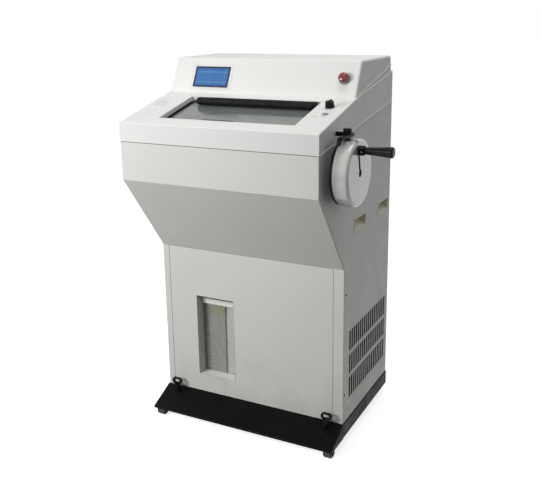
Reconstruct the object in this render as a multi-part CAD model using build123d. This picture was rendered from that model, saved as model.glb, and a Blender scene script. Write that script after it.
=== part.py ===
from build123d import *
import os
from math import atan, cos, degrees, hypot, radians, sin, tan

# Cryostat microtome on its own base.
# Sizes are in millimetres. X runs to the operator's right, Y to the back, Z up.
# While it is built, X = 0 is the cabinet's middle, Y = 0 its front and Z = 0 the floor.
# The finished model is moved so that the origin is at the middle of its footprint.

# Cabinet outline
body_width = 620.0
body_depth = 392.0
cabinet_bottom = 75.0
belly_low = 560.0
belly_high = 806.0
belly_reach = 182.0
split_front = 919.0
split_rear = 998.0
deck_front = 974.0
deck_angle = 13.4
console_start = 79.0
console_angle = 63.8
console_top = 1137.5
console_rear_inset = 15.0
console_side_inset = 2.0
cover_rear = 1092.0
skin = 4.0
edge_round = 3.0

# Base
base_overhang = 2.0
rail_bottom = 28.0
rail_width = 40.0
rail_wall = 3.0
skirt_reach = 91.0
skirt_lip_top = 35.0
skirt_plate = 3.0
roller_r = 18.0
roller_width = 26.0
roller_inset = 19.0
roller_y = -68.0
roller_axle_r = 4.0
bracket_plate = 2.0
castor_r = 25.0
castor_width = 20.0
castor_x = 220.0
castor_rear_inset = 92.0
castor_trail = 18.0
castor_axle_r = 4.0
jack_x = 265.0
jack_y = -21.0
jack_stem_r = 6.0
jack_bush_r = 10.0
jack_pad_r = 14.0
jack_nut_low = 79.0
jack_nut_height = 7.0

# Front of the cabinet
front_seam_left = -288.0
front_seam_right = 277.0
panel_gap = 1.0
panel_lip = 16.0
recess_left = -190.0
recess_right = -58.0
recess_bottom = 135.0
recess_top = 405.0
recess_depth = 175.0
recess_wall = 2.5
tank_setback = 38.0
tank_length = 118.0
tank_side_gap = 2.0
tank_wall = 2.5
tank_rim = 20.0
tank_top_gap = 7.0

# Right side of the cabinet
grille_front = 46.0
grille_back = 362.0
grille_bottom = 141.0
grille_top = 357.0
grille_margin = 14.0
grille_columns = 18
grille_bar = 6.5
grille_row_gaps = (13.0, 13.0)
grille_row_heights = (64.0, 60.0, 66.0)
grip_length = 86.0
grip_height = 34.0
grip_depth = 22.0
grip_wall = 2.0
grip_flange = 5.0
grip_y = (120.0, 325.0)
grip_z = 672.0

# Window in the deck, measured up the slope from the deck's front edge
well_left = -206.0
well_right = 220.0
well_front = 50.0
well_back = 232.0
well_depth = 20.0
well_wall = 3.0
glass_thickness = 6.0
glass_tail = 8.0
gasket_width = 5.0
gasket_height = 7.0
seal_left = -170.0
seal_right = 219.0
seal_r = 11.5
seal_place = 201.0
pull_left = -72.0
pull_right = 28.0
pull_start = 2.0
pull_depth = 12.0
pull_height = 9.0
knob_x = 261.0
knob_place = 192.0
knob_r = 13.0
knob_height = 17.0
button_x = 268.0
button_place = 139.0
button_r = 6.0
keypad_left = -293.0
keypad_right = -256.0
keypad_low = 134.0
keypad_high = 184.0

# Console face, measured up the face from its foot
display_left = -230.0
display_right = -108.0
display_low = 18.0
display_high = 84.0
stop_x = 264.0
stop_place = 56.0
stop_r = 14.5

# Handwheel and its drive
wheel_y = -88.0
wheel_z = 864.0
wheel_r = 90.0
wheel_gap = 38.0
wheel_width = 37.0
wheel_web = 12.0
wheel_rim = 9.0
rim_round = 9.0
back_plate_r = 87.0
back_plate_width = 15.0
hub_r = 22.0
shaft_r = 10.0
running_gap = 0.05
slot_width = 11.0
foot_half = 9.0
grip_radius = 64.0
grip_tilt = 12.7
collar_length = 17.0
grip_reach = 94.0
grip_pin_r = 5.0
main_y = 130.0
main_z = 850.0
pulley_r = 32.0
pulley_inset = 44.0
pulley_width = 18.0
belt_width = 13.0
belt_thickness = 2.5
belt_gap = 0.3
crank_r = 36.0
crank_left = 52.0
crank_width = 12.0
crank_throw = 28.0
lever_y = -70.0
lever_pin_r = 6.0
lever_reach = 82.0
lever_height = 9.0
lever_width = 12.0
lever_clearance = 2.0
lever_knob_place = 32.0
lever_knob_r = 9.5
lever_knob_height = 16.0

# Cold chamber
chamber_left = -215.0
chamber_right = 215.0
chamber_front = -120.0
chamber_back = 230.0
chamber_floor = 700.0
chamber_wall = 2.0
chamber_bevel_gap = 45.0
foam = 30.0

shelf_top = 790.0
suction_x = -140.0
suction_z = 812.0
drain_x = -90.0
drain_y = 20.0

# Microtome in the chamber
bed_top = 722.0
rod_r = 8.0
rod_x = 28.0
rod_y = 150.0
rod_top = 980.0
carriage_bottom = 820.0
carriage_height = 70.0
feed_z = 862.0
feed_r = 17.0
head_pivot_y = 60.0
head_ball_r = 7.0
knife_front = -52.0
knife_travel = 22.0
base_lever_x = -65.0

# Places worked out from the sizes above
half = body_width / 2
front_y = -belly_reach
console_foot = deck_front + (console_start + belly_reach) * tan(radians(deck_angle))
console_rise = console_top - console_foot
castor_y = body_depth - castor_rear_inset
pulley_left = half - pulley_inset
console_lip = console_start + console_rise / tan(radians(console_angle))
console_back = body_depth - console_rear_inset
deck = Plane(
    origin=(0, front_y, deck_front),
    x_dir=(1, 0, 0),
    z_dir=(0, -sin(radians(deck_angle)), cos(radians(deck_angle))),
)
face = Plane(
    origin=(0, console_start, console_foot),
    x_dir=(1, 0, 0),
    z_dir=(0, -sin(radians(console_angle)), cos(radians(console_angle))),
)
seat_n = -well_depth
glass_low = seat_n + 0.3
glass_high = glass_low + glass_thickness
wheel_back = half + wheel_gap
wheel_face = wheel_back + wheel_width
collar_end = wheel_face + collar_length
grip_end = wheel_face + grip_reach
lever_low = wheel_z + wheel_r + lever_clearance
lever_z = lever_low + lever_height / 2
lever_left = wheel_back - 2
lever_right = lever_left + lever_width


def block(x0, x1, y0, y1, z0, z1):
    """A box between two corners."""
    return Pos((x0 + x1) / 2, (y0 + y1) / 2, (z0 + z1) / 2) * Box(x1 - x0, y1 - y0, z1 - z0)


def side_prism(points, x0, x1):
    """A prism across the machine whose outline is given as (Y, Z) points."""
    outline = Plane.YZ.offset(x0) * make_face(Polyline(*points, close=True))
    return extrude(outline, amount=x1 - x0)


def rod_across(x0, x1, y, z, r):
    """A round bar along X."""
    return Pos((x0 + x1) / 2, y, z) * Rot(0, 90, 0) * Cylinder(r, x1 - x0)


def rod_along(y0, y1, x, z, r):
    """A round bar along Y."""
    return Pos(x, (y0 + y1) / 2, z) * Rot(90, 0, 0) * Cylinder(r, y1 - y0)


def rod_up(z0, z1, x, y, r):
    """A round bar along Z."""
    return Pos(x, y, (z0 + z1) / 2) * Cylinder(r, z1 - z0)


def rounded(solid, axis, radius):
    """The same solid with its edges along one axis rounded."""
    return fillet(solid.edges().filter_by(axis), radius)


def deck_height(y, below=0.0):
    """Height of a plane at a depth below the deck's surface, at a given Y."""
    slope = radians(deck_angle)
    return deck_front + (y - front_y) * tan(slope) - below / cos(slope)


# Outline of the lower body, up to the split line
body_points = [
    (0, cabinet_bottom),
    (0, belly_low),
    (front_y, belly_high),
    (front_y, split_front),
    (body_depth, split_rear),
    (body_depth, cabinet_bottom),
]
# Outline of the deck cover, between the split line and the console's seam
cover_points = [
    (front_y, split_front),
    (front_y, deck_front),
    (console_start, console_foot),
    (body_depth, cover_rear),
    (body_depth, split_rear),
]
console_points = [
    (console_start, console_foot),
    (console_lip, console_top),
    (console_back, console_top),
    (body_depth - 8, cover_rear),
]


# Base

def base_frame():
    """Four box-section rails, welded at their ends."""
    outer = half + base_overhang
    inner = outer - rail_width
    long_rail = block(inner, outer, 0, body_depth, rail_bottom, cabinet_bottom)
    long_bore = block(
        inner + rail_wall, outer - rail_wall,
        rail_wall, body_depth - rail_wall,
        rail_bottom + rail_wall, cabinet_bottom - rail_wall,
    )
    cross_rail = block(-inner, inner, 0, rail_width, rail_bottom, cabinet_bottom)
    cross_bore = block(
        -inner + rail_wall, inner - rail_wall,
        rail_wall, rail_width - rail_wall,
        rail_bottom + rail_wall, cabinet_bottom - rail_wall,
    )
    side = rounded(long_rail, Axis.Y, edge_round) - long_bore
    cross = cross_rail - cross_bore
    rear = Pos(0, body_depth - rail_width, 0) * cross
    return [side, mirror(side, about=Plane.YZ), cross, rear]


def skirt_underside(y):
    """Height of the sloped skirt plate's lower face at a given Y."""
    slope = (cabinet_bottom - skirt_lip_top) / skirt_reach
    return cabinet_bottom + slope * y - skirt_plate * hypot(1, slope)


def base_skirt():
    """Folded plate that slopes forward from the cabinet, with closed ends."""
    outer = half + base_overhang
    profile = [
        (0, cabinet_bottom),
        (-skirt_reach, skirt_lip_top),
        (-skirt_reach, rail_bottom),
        (-skirt_reach + skirt_plate, rail_bottom),
        (-skirt_reach + skirt_plate, skirt_underside(-skirt_reach + skirt_plate)),
        (0, skirt_underside(0)),
    ]
    plate = side_prism(profile, -outer, outer)
    for side in (-1, 1):
        plate -= rod_up(0, 2 * cabinet_bottom, side * jack_x, jack_y, jack_bush_r + running_gap)
    end_profile = [
        (0, skirt_underside(0)),
        (-skirt_reach + skirt_plate, skirt_underside(-skirt_reach + skirt_plate)),
        (-skirt_reach + skirt_plate, rail_bottom),
        (0, rail_bottom),
    ]
    end = side_prism(end_profile, outer - skirt_plate, outer)
    return [plate, end, mirror(end, about=Plane.YZ)]


roller_x = half + base_overhang - roller_inset


def roller_brackets():
    """Plates on both sides of each front roller, a bridge above it and its axle."""
    inner = roller_width / 2 + 0.5
    front = roller_y - 12
    back = roller_y + 12
    plate_points = [
        (front, skirt_underside(front)),
        (back, skirt_underside(back)),
        (roller_y + 7, roller_r - 7),
        (roller_y - 7, roller_r - 7),
    ]
    bridge_points = [
        (front, skirt_underside(front)),
        (back, skirt_underside(back)),
        (back, skirt_underside(back) - bracket_plate),
        (front, skirt_underside(front) - bracket_plate),
    ]
    solids = []
    for side in (-1, 1):
        centre = side * roller_x
        for hand in (-1, 1):
            near = centre + hand * inner
            far = near + hand * bracket_plate
            solids.append(side_prism(plate_points, min(near, far), max(near, far)))
        solids.append(side_prism(bridge_points, centre - inner, centre + inner))
        solids.append(rod_across(centre - inner, centre + inner, roller_y, roller_r, roller_axle_r))
    return solids


def wheel_at(x, y, radius, width, bore):
    """A moulded wheel with a rounded tread, a dished side and a bore, lying along X."""
    dish = radius * 0.62
    hub = bore + 4
    outline = Polyline(
        (bore, -width / 2),
        (hub, -width / 2),
        (hub, -width / 2 + 3),
        (dish, -width / 2 + 3),
        (dish, -width / 2),
        (radius - 3, -width / 2),
        (radius, -width / 2 + 3),
        (radius, width / 2 - 3),
        (radius - 3, width / 2),
        (dish, width / 2),
        (dish, width / 2 - 3),
        (hub, width / 2 - 3),
        (hub, width / 2),
        (bore, width / 2),
        close=True,
    )
    turned = revolve(Plane.XZ * make_face(outline), Axis.Z)
    return Pos(x, y, radius) * Rot(0, 90, 0) * turned


def front_roller(side):
    return wheel_at(side * roller_x, roller_y, roller_r, roller_width, roller_axle_r + running_gap)


plate_low = 68.0
kingpin_r = 4.0
kingpin_low = 57.5


def castor_plates():
    """Top plate, race and kingpin of each rear castor, bolted under the floor pan."""
    solids = []
    for side in (-1, 1):
        plate = block(-30, 30, -25, 25, cabinet_bottom - 3, cabinet_bottom)
        plate += rod_up(plate_low, cabinet_bottom - 3, 0, 0, 20)
        pin = rod_up(kingpin_low, plate_low, 0, 0, kingpin_r)
        head = rod_up(kingpin_low - 3, kingpin_low, 0, 0, 7)
        solids.append(Pos(side * castor_x, castor_y, 0) * (plate + pin + head))
    return solids


def castor_fork(side):
    """Swivel fork: a crown round the kingpin, two swept arms and the axle."""
    arm_in = castor_width / 2 + 1
    arm_out = arm_in + 3
    crown_top = plate_low - 0.3
    crown_low = kingpin_low + 0.3
    crown = rod_up(crown_low, crown_top, 0, 0, 18)
    arm_points = [
        (-14, crown_top),
        (14, crown_top),
        (castor_trail + 8, castor_r + 2),
        (castor_trail + 8, castor_r - 7),
        (castor_trail - 8, castor_r - 7),
        (-14, crown_low),
    ]
    fork = crown
    for hand in (-1, 1):
        low = min(hand * arm_in, hand * arm_out)
        fork += side_prism(arm_points, low, low + 3)
    fork -= rod_up(crown_low - 1, crown_top + 1, 0, 0, kingpin_r + running_gap)
    fork += rod_across(-arm_in, arm_in, castor_trail, castor_r, castor_axle_r)
    return Pos(side * castor_x, castor_y, 0) * fork


def castor_wheel(side):
    return wheel_at(
        side * castor_x, castor_y + castor_trail, castor_r, castor_width, castor_axle_r + running_gap
    )


def jack_bushes():
    """Threaded bushes welded through the skirt, one for each levelling jack."""
    solids = []
    for side in (-1, 1):
        bush = rod_up(46, 61, side * jack_x, jack_y, jack_bush_r)
        bore = rod_up(45, 62, side * jack_x, jack_y, jack_stem_r + running_gap)
        solids.append(bush - bore)
    return solids


def jack_stem(side):
    """Levelling screw with its swivel pad on the floor and its lock nut above the bush."""
    x = side * jack_x
    pad = Pos(x, jack_y, 0) * Cone(jack_pad_r, 9, 6, align=(Align.CENTER, Align.CENTER, Align.MIN))
    return pad + rod_up(6, jack_nut_low + jack_nut_height + 7, x, jack_y, jack_stem_r)


def jack_nut(side):
    """Hexagonal nut above the bush, round the levelling screw."""
    nut = extrude(RegularPolygon(11, 6), amount=jack_nut_height)
    bore = rod_up(-1, jack_nut_height + 1, 0, 0, jack_stem_r)
    return Pos(side * jack_x, jack_y, jack_nut_low) * (nut - bore)


def jack_handle(side):
    """Loop handle on top of the levelling screw."""
    boss = rod_up(0, 7, 0, 0, 10)
    outer = Plane.XZ * RectangleRounded(34, 22, 9)
    inner = Plane.XZ * RectangleRounded(22, 12, 5)
    loop = extrude(outer - inner, amount=3, both=True)
    socket = rod_up(-1, 7, 0, 0, jack_stem_r)
    handle = boss + Pos(0, 0, 7 + 9) * loop - socket
    return Pos(side * jack_x, jack_y, jack_nut_low + jack_nut_height) * handle


# Cabinet

def floor_pan():
    """Pressed pan on the base rails, with a low wall inside the cabinet's sides."""
    inner = half - skin
    front = panel_lip + panel_gap
    back = body_depth - skin
    pan = block(-inner, inner, front, back, cabinet_bottom, cabinet_bottom + 2)
    return pan + block(-inner, inner, back - 2, back, cabinet_bottom + 2, cabinet_bottom + 22)


def grille_opening():
    return block(
        half - 50, half + 50,
        grille_front - grille_margin, grille_back + grille_margin,
        grille_bottom - grille_margin, grille_top + grille_margin,
    )


def grip_pocket(y, grow):
    """Space of one flush grip's cup, grown on every side."""
    return block(
        half - grip_depth - grow, half + 50,
        y - grip_length / 2 - grow, y + grip_length / 2 + grow,
        grip_z - grip_height / 2 - grow, grip_z + grip_height / 2 + grow,
    )


def lever_hole():
    """Hole of the lock lever's pin in the deck cover's right side."""
    return rod_across(half - skin - 1, half + 1, lever_y, lever_z, lever_pin_r + running_gap)


def side_panel():
    """Right side of the body with its outer edges rounded."""
    panel = side_prism(body_points, half - skin, half)
    outer = panel.faces().sort_by(Axis.X)[-1]
    panel = fillet(outer.edges(), edge_round)
    for y in grip_y:
        panel -= grip_pocket(y, grip_wall)
    return panel


def right_side_panel():
    shaft_hole = rod_across(half - skin - 1, half + 1, wheel_y, wheel_z, hub_r)
    return side_panel() - grille_opening() - shaft_hole


def left_side_panel():
    return mirror(side_panel(), about=Plane.YZ)


def rear_panel():
    """Flat back with a pressed field of vent slots and the inlet's cut-out."""
    inner = half - skin
    panel = block(-inner, inner, body_depth - skin, body_depth, cabinet_bottom, split_rear - panel_gap)
    slot = Box(90, 3 * skin, 5)
    for row in range(8):
        for column in range(2):
            x = 60 + 110 * column
            panel -= Pos(x, body_depth, 420 + 16 * row) * slot
    return panel - block(-220, -170, body_depth - 20, body_depth + 20, 138, 182)


def skin_band(points):
    """The sheet that follows an outline seen from the side, between the side panels."""
    outer = make_face(Polyline(*points, close=True))
    inner = offset(outer, amount=-skin, kind=Kind.INTERSECTION)
    inside = half - skin
    return extrude(Plane.YZ.offset(-inside) * (outer - inner), amount=2 * inside)


def belly_fascia():
    """Folded front skin: the leaning belly and the upright fascia above it."""
    keep_front = side_prism(
        [
            (skin, belly_low),
            (-2 * belly_reach, belly_low),
            (-2 * belly_reach, split_front - panel_gap),
            (front_y + skin, split_front - panel_gap),
            (front_y + skin, belly_high),
        ],
        -half, half,
    )
    return skin_band(body_points) & keep_front


def front_posts():
    """Narrow folded posts beside the front panel."""
    solids = []
    for edge, seam in ((-half + skin, front_seam_left), (half - skin, front_seam_right)):
        left = min(edge, seam)
        right = max(edge, seam)
        post = block(left, right, 0, skin, cabinet_bottom, belly_low)
        fold = block(left, right, skin, 40, cabinet_bottom + 2, belly_low - skin)
        hollow = block(left + 2, right - 2, skin, 41, cabinet_bottom + 1, belly_low)
        solids.append(post + (fold - hollow))
    return solids


def front_panel():
    """Removable panel: a shallow pan with folded lips and the tank's opening."""
    left = front_seam_left + panel_gap
    right = front_seam_right - panel_gap
    low = cabinet_bottom + panel_gap
    high = belly_low - panel_gap
    pan = rounded(block(left, right, 0, panel_lip, low, high), Axis.Z, 1.5)
    pan -= block(left + 2, right - 2, 2, panel_lip + 1, low + 2, high - 2)
    return pan - block(recess_left, recess_right, -1, panel_lip, recess_bottom, recess_top)


def tank_recess():
    """Moulded liner of the tank's bay, open at the front."""
    outer = block(
        recess_left - recess_wall, recess_right + recess_wall,
        2, recess_depth,
        recess_bottom - recess_wall, recess_top + recess_wall,
    )
    inner = block(
        recess_left, recess_right,
        1, recess_depth - recess_wall,
        recess_bottom, recess_top,
    )
    return rounded(outer, Axis.Y, 2) - rounded(inner, Axis.Y, 1)


tank_left = recess_left + tank_side_gap
tank_right = recess_right - tank_side_gap
tank_low = recess_bottom + 0.3
tank_high = recess_top - tank_top_gap - tank_rim


def waste_tank():
    """Open-topped moulded tank with a stepped front."""
    back = tank_setback + tank_length
    step = tank_left + 0.62 * (tank_right - tank_left)
    body = block(tank_left, tank_right, tank_setback + 4, back, tank_low, tank_high)
    body += block(tank_left, step, tank_setback, tank_setback + 4, tank_low, tank_high)
    body = rounded(body, Axis.Z, 1.8)
    wall = tank_wall
    body -= block(
        tank_left + wall, tank_right - wall,
        tank_setback + 4 + wall, back - wall,
        tank_low + wall, tank_high + 1,
    )
    return body


def tank_cap():
    """White rim that covers the tank, with the drain hose's hole."""
    back = tank_setback + tank_length
    cap = rounded(
        block(tank_left, tank_right, tank_setback, back, tank_high, tank_high + tank_rim), Axis.Z, 3
    )
    cap -= block(
        tank_left + 3, tank_right - 3, tank_setback + 7, back - 3, tank_high - 1, tank_high + tank_rim - 3
    )
    middle = (tank_left + tank_right) / 2
    return cap - rod_up(tank_high, recess_top, middle, back - 40, 14)


def side_grille():
    """Vent plate in the right side: three rows of upright slots."""
    low_y = grille_front - grille_margin
    high_y = grille_back + grille_margin
    low_z = grille_bottom - grille_margin
    high_z = grille_top + grille_margin
    plate = block(half - skin + 0.5, half - 0.5, low_y, high_y, low_z, high_z)
    pitch = (grille_back - grille_front + grille_bar) / grille_columns
    top = grille_top
    for row, height in enumerate(grille_row_heights):
        for column in range(grille_columns):
            y = grille_front + column * pitch
            plate -= block(half - 10, half + 10, y, y + pitch - grille_bar, top - height, top)
        if row < len(grille_row_gaps):
            top -= height + grille_row_gaps[row]
    return plate


def flush_grips(side):
    """Two moulded cups with a thin flange, pressed into the side panel."""
    solids = []
    for y in grip_y:
        cup = grip_pocket(y, grip_wall) & block(0, half, -2 * half, 2 * half, 0, 2 * split_rear)
        cup += rounded(
            block(
                half, half + 1.2,
                y - grip_length / 2 - grip_flange, y + grip_length / 2 + grip_flange,
                grip_z - grip_height / 2 - grip_flange, grip_z + grip_height / 2 + grip_flange,
            ),
            Axis.X, 4,
        )
        cup -= rounded(grip_pocket(y, 0), Axis.X, 3)
        solids.append(cup if side > 0 else mirror(cup, about=Plane.YZ))
    return solids


# Deck, window and console

def inset(points, distance):
    """The corners of an outline drawn clockwise, moved inwards by a distance."""
    moved = []
    count = len(points)
    for index in range(count):
        before = points[index - 1]
        here = points[index]
        after = points[(index + 1) % count]
        first = hypot(here[0] - before[0], here[1] - before[1])
        second = hypot(after[0] - here[0], after[1] - here[1])
        n1 = ((here[1] - before[1]) / first, -(here[0] - before[0]) / first)
        n2 = ((after[1] - here[1]) / second, -(after[0] - here[0]) / second)
        scale = distance / (1 + n1[0] * n2[0] + n1[1] * n2[1])
        moved.append((here[0] + scale * (n1[0] + n2[0]), here[1] + scale * (n1[1] + n2[1])))
    return moved


def without_bottom(solid):
    """The edges of a solid, apart from those of its lowest face."""
    bottom = solid.faces().sort_by(Axis.Z)[0]
    corners = [(round(v.X, 3), round(v.Y, 3), round(v.Z, 3)) for v in bottom.vertices()]
    kept = []
    for edge in solid.edges():
        ends = [(round(v.X, 3), round(v.Y, 3), round(v.Z, 3)) for v in edge.vertices()]
        if not all(end in corners for end in ends):
            kept.append(edge)
    return kept


ledge = 16.0
aperture_left = well_left + ledge
aperture_right = well_right - ledge
aperture_front = well_front + ledge
aperture_back = well_back - ledge
glass_left = well_left + 6 + gasket_width + 0.3
glass_right = well_right - 6 - gasket_width - 0.3
glass_front = well_front + 6 + gasket_width + 0.3
glass_back = well_back + glass_tail
pull_front = glass_front + pull_start
window_travel = seal_place - seal_r - pull_front - pull_depth - 0.5


def deck_cover():
    """Moulded cover: the sloped deck with its sunken well, and the band below the console."""
    outer = side_prism(cover_points, -half, half)
    low_edges = [edge for edge in outer.edges() if edge.center().Z < split_rear + 1]
    band = [edge for edge in outer.edges() if edge.center().Z > deck_front - 30]
    soft = [edge for edge in band if edge not in low_edges]
    front_top = [edge for edge in outer.edges() if abs(edge.center().Z - deck_front) < 1]
    outer = fillet(ShapeList(soft + front_top), edge_round)
    inner_points = [
        (front_y + skin, split_front - 60),
        (front_y + skin, deck_height(front_y + skin, skin)),
        (console_start, deck_height(console_start, skin)),
        (body_depth - skin, cover_rear - skin),
        (body_depth - skin, split_front - 60),
    ]
    cover = outer - side_prism(inner_points, -half + skin, half - skin)
    under_console = [
        (console_start + 24, split_front),
        (console_start + 24, 2 * console_top),
        (body_depth - 28, 2 * console_top),
        (body_depth - 28, split_front),
    ]
    cover -= side_prism(under_console, -half + 24, half - 24)
    cover += deck * block(
        well_left - well_wall, well_right + well_wall,
        well_front - well_wall, well_back + well_wall,
        seat_n - chamber_wall, -skin / 2,
    )
    cover -= deck * block(well_left, well_right, well_front, well_back, seat_n, 20)
    cover -= deck * block(
        aperture_left, aperture_right, aperture_front, aperture_back, seat_n - 20, 0
    )
    cover -= deck * block(
        glass_left - 0.5, glass_right + 0.5, well_back - 1, well_back + 40, seat_n, glass_high + 0.5
    )
    for x, place, radius in ((knob_x, knob_place, 4), (button_x, button_place, button_r + 1.5)):
        cover -= deck * rod_up(-20, 20, x, place, radius)
    return cover - lever_hole()


def window_gasket():
    """Black grooved strips along both sides and the front of the glass."""
    left = well_left + 6
    right = well_right - 6
    front = well_front + 6
    top = seat_n + gasket_height
    back = well_back - 0.5
    middle = gasket_width / 2
    side = block(left, left + gasket_width, front + gasket_width, back, seat_n, top)
    side -= block(left + middle - 0.8, left + middle + 0.8, front, back + 1, top - 1.5, top + 1)
    across = block(left, right, front, front + gasket_width, seat_n, top)
    across -= block(left - 1, right + 1, front + middle - 0.8, front + middle + 0.8, top - 1.5, top + 1)
    other = mirror(side, about=Plane.YZ.offset((left + right) / 2))
    return [deck * side, deck * other, deck * across]


def glass_pane():
    """Sliding pane with ground edges."""
    pane = block(glass_left, glass_right, glass_front, glass_back, glass_low, glass_high)
    return deck * chamfer(pane.faces().sort_by(Axis.Z)[-1].edges(), 1)


def window_pull():
    """Low pull bonded to the pane's front edge."""
    middle = (pull_left + pull_right) / 2
    length = pull_right - pull_left
    profile = Polyline(
        (pull_front, glass_high),
        (pull_front, glass_high + pull_height),
        (pull_front + 4, glass_high + pull_height),
        (pull_front + 6, glass_high + 3),
        (pull_front + pull_depth, glass_high + 2),
        (pull_front + pull_depth, glass_high),
        close=True,
    )
    solid = extrude(Plane.YZ.offset(middle - length / 2) * make_face(profile), amount=length)
    return deck * solid


def bulb_seal():
    """Bulb that wipes the pane, with a tail clamped under the deck's edge."""
    centre = glass_high + 0.3 + seal_r
    bulb = rod_across(seal_left + seal_r, seal_right - seal_r, seal_place, centre, seal_r)
    for x in (seal_left + seal_r, seal_right - seal_r):
        bulb += Pos(x, seal_place, centre) * Sphere(seal_r)
    tail = block(seal_left + seal_r, seal_right - seal_r, seal_place, well_back, centre - 3, centre + 1)
    return deck * (bulb + tail)


def window_rails():
    """Channels that carry the pane under the console."""
    near = well_back + well_wall + 0.5
    far = glass_back + window_travel + 4
    outside = glass_left - 6
    beside = glass_left - 0.3
    over = glass_left + 8
    rail = block(outside, beside, near, far, seat_n - 2, glass_high)
    rail += block(outside, over, near, far, seat_n - 2, glass_low - 0.3)
    rail += block(outside, over, near, far, glass_high + 0.3, glass_high + 2.3)
    rail += block(outside, beside, near, far, glass_high, glass_high + 1)
    other = mirror(rail, about=Plane.YZ.offset((glass_left + glass_right) / 2))
    return [deck * rail, deck * other]


def console_cover():
    """Hood with an inclined face, soft edges and an open underside."""
    side = half - console_side_inset
    wall = 3.5
    outer = side_prism(console_points, -side, side)
    outer = fillet(ShapeList(without_bottom(outer)), 7)
    points = inset(console_points, wall)
    sunk = 30.0
    run = sunk / tan(radians(console_angle))
    points[0] = (points[0][0] - run, points[0][1] - sunk)
    points[3] = (points[3][0], points[3][1] - sunk)
    cover = outer - side_prism(points, -side + wall, side - wall)
    cover -= face * block(display_left + 3, display_right - 3, display_low + 3, display_high - 3, -20, 20)
    return cover - face * rod_up(-20, 20, stop_x, stop_place, stop_r - 3)


def display_bezel():
    """Rounded frame round the display."""
    width = display_right - display_left
    height = display_high - display_low
    centre = Pos((display_left + display_right) / 2, (display_low + display_high) / 2, 0)
    frame = extrude(RectangleRounded(width, height, 3), amount=2)
    frame += Pos(0, 0, -4) * extrude(RectangleRounded(width - 6.5, height - 6.5, 2), amount=4)
    window = Pos(0, 0, -5) * extrude(RectangleRounded(width - 10, height - 10, 1.5), amount=8)
    return face * (centre * (frame - window))


def display_screen():
    width = display_right - display_left - 10.2
    height = display_high - display_low - 10.2
    centre = Pos((display_left + display_right) / 2, (display_low + display_high) / 2, -3)
    return face * (centre * extrude(RectangleRounded(width, height, 1.4), amount=4))


def display_module():
    """Display's board and housing behind the console."""
    return face * block(
        display_left + 6, display_right - 6, display_low + 6, display_high - 6, -26, -4
    )


def stop_collar():
    """Ring and threaded sleeve of the stop button."""
    ring = rod_up(0, 3, 0, 0, stop_r + 2.5) + rod_up(-14, 0, 0, 0, stop_r - 3.1)
    ring = ring - rod_up(-15, 4, 0, 0, 8 + running_gap)
    return face * (Pos(stop_x, stop_place, 0) * ring)


def stop_block():
    """Contact block clipped behind the stop button's sleeve."""
    block_solid = block(-13, 13, -11, 11, -44, -14)
    pocket = rod_up(-22, -13, 0, 0, 9)
    return face * (Pos(stop_x, stop_place, 0) * (block_solid - pocket))


def stop_button():
    """Mushroom head with a waisted neck and a stem."""
    outline = Polyline(
        (0, -13), (8, -13), (8, 9), (stop_r - 3, 10), (stop_r, 12),
        (stop_r, 15), (stop_r - 3.5, 18.5), (stop_r - 8, 20), (0, 20.4),
        close=True,
    )
    head = revolve(Plane.XZ * make_face(outline), Axis.Z)
    return face * (Pos(stop_x, stop_place, 0) * head)


def selector_knob():
    """Knob with a fluted skirt, a pointer ridge and a spindle."""
    body = Cone(knob_r, knob_r - 1.5, knob_height, align=(Align.CENTER, Align.CENTER, Align.MIN))
    for index in range(10):
        groove = Pos(knob_r + 1.5, 0, knob_height / 2) * Cylinder(2.6, knob_height + 2)
        body -= Rot(0, 0, 36 * index + 18) * groove
    ridge = block(-2.5, 2.5, -knob_r + 2, knob_r - 2, knob_height, knob_height + 3)
    knob = Pos(0, 0, 0.4) * (body + ridge) + rod_up(-14, 1, 0, 0, 3)
    return deck * (Pos(knob_x, knob_place, 0) * knob)


def selector_switch():
    """Rotary switch and its threaded bush under the deck."""
    body = block(-12, 12, -12, 12, -30, -skin) + rod_up(-skin, 0, 0, 0, 4)
    return deck * (Pos(knob_x, knob_place, 0) * (body - rod_up(-15, 1, 0, 0, 3 + running_gap)))


def lamp_button():
    """Small round push button of the chamber lamp."""
    cap = rod_up(-9, 3.5, 0, 0, button_r)
    cap = chamfer(cap.faces().sort_by(Axis.Z)[-1].edges(), 1)
    return deck * (Pos(button_x, button_place, 0) * cap)


def lamp_switch():
    """Switch body and collar of the lamp button."""
    body = block(-9, 9, -9, 9, -26, -skin) + rod_up(-skin, 0, 0, 0, button_r + 1.4)
    body += rod_up(0, 1, 0, 0, button_r + 3)
    return deck * (Pos(button_x, button_place, 0) * (body - rod_up(-12, 2, 0, 0, button_r + running_gap)))


def keypad():
    """Membrane pad with three raised keys, all blank."""
    pad = extrude(RectangleRounded(keypad_right - keypad_left, keypad_high - keypad_low, 3), amount=0.8)
    for index in range(3):
        y = (index - 1) * 15
        pad += Pos(0, y, 0.8) * extrude(RectangleRounded(22, 9, 2), amount=0.5)
    return deck * (Pos((keypad_left + keypad_right) / 2, (keypad_low + keypad_high) / 2, 0) * pad)


# Handwheel and drive

def turned(points, y, z):
    """A body turned about the X direction from its (X, radius) outline."""
    return Pos(0, y, z) * revolve(make_face(Polyline(*points, close=True)), Axis.X)


def in_wheel(solid):
    """Places a solid, drawn with the slot straight up from the hub, into the wheel."""
    return Pos(0, wheel_y, wheel_z) * Rot(grip_tilt, 0, 0) * solid


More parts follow.
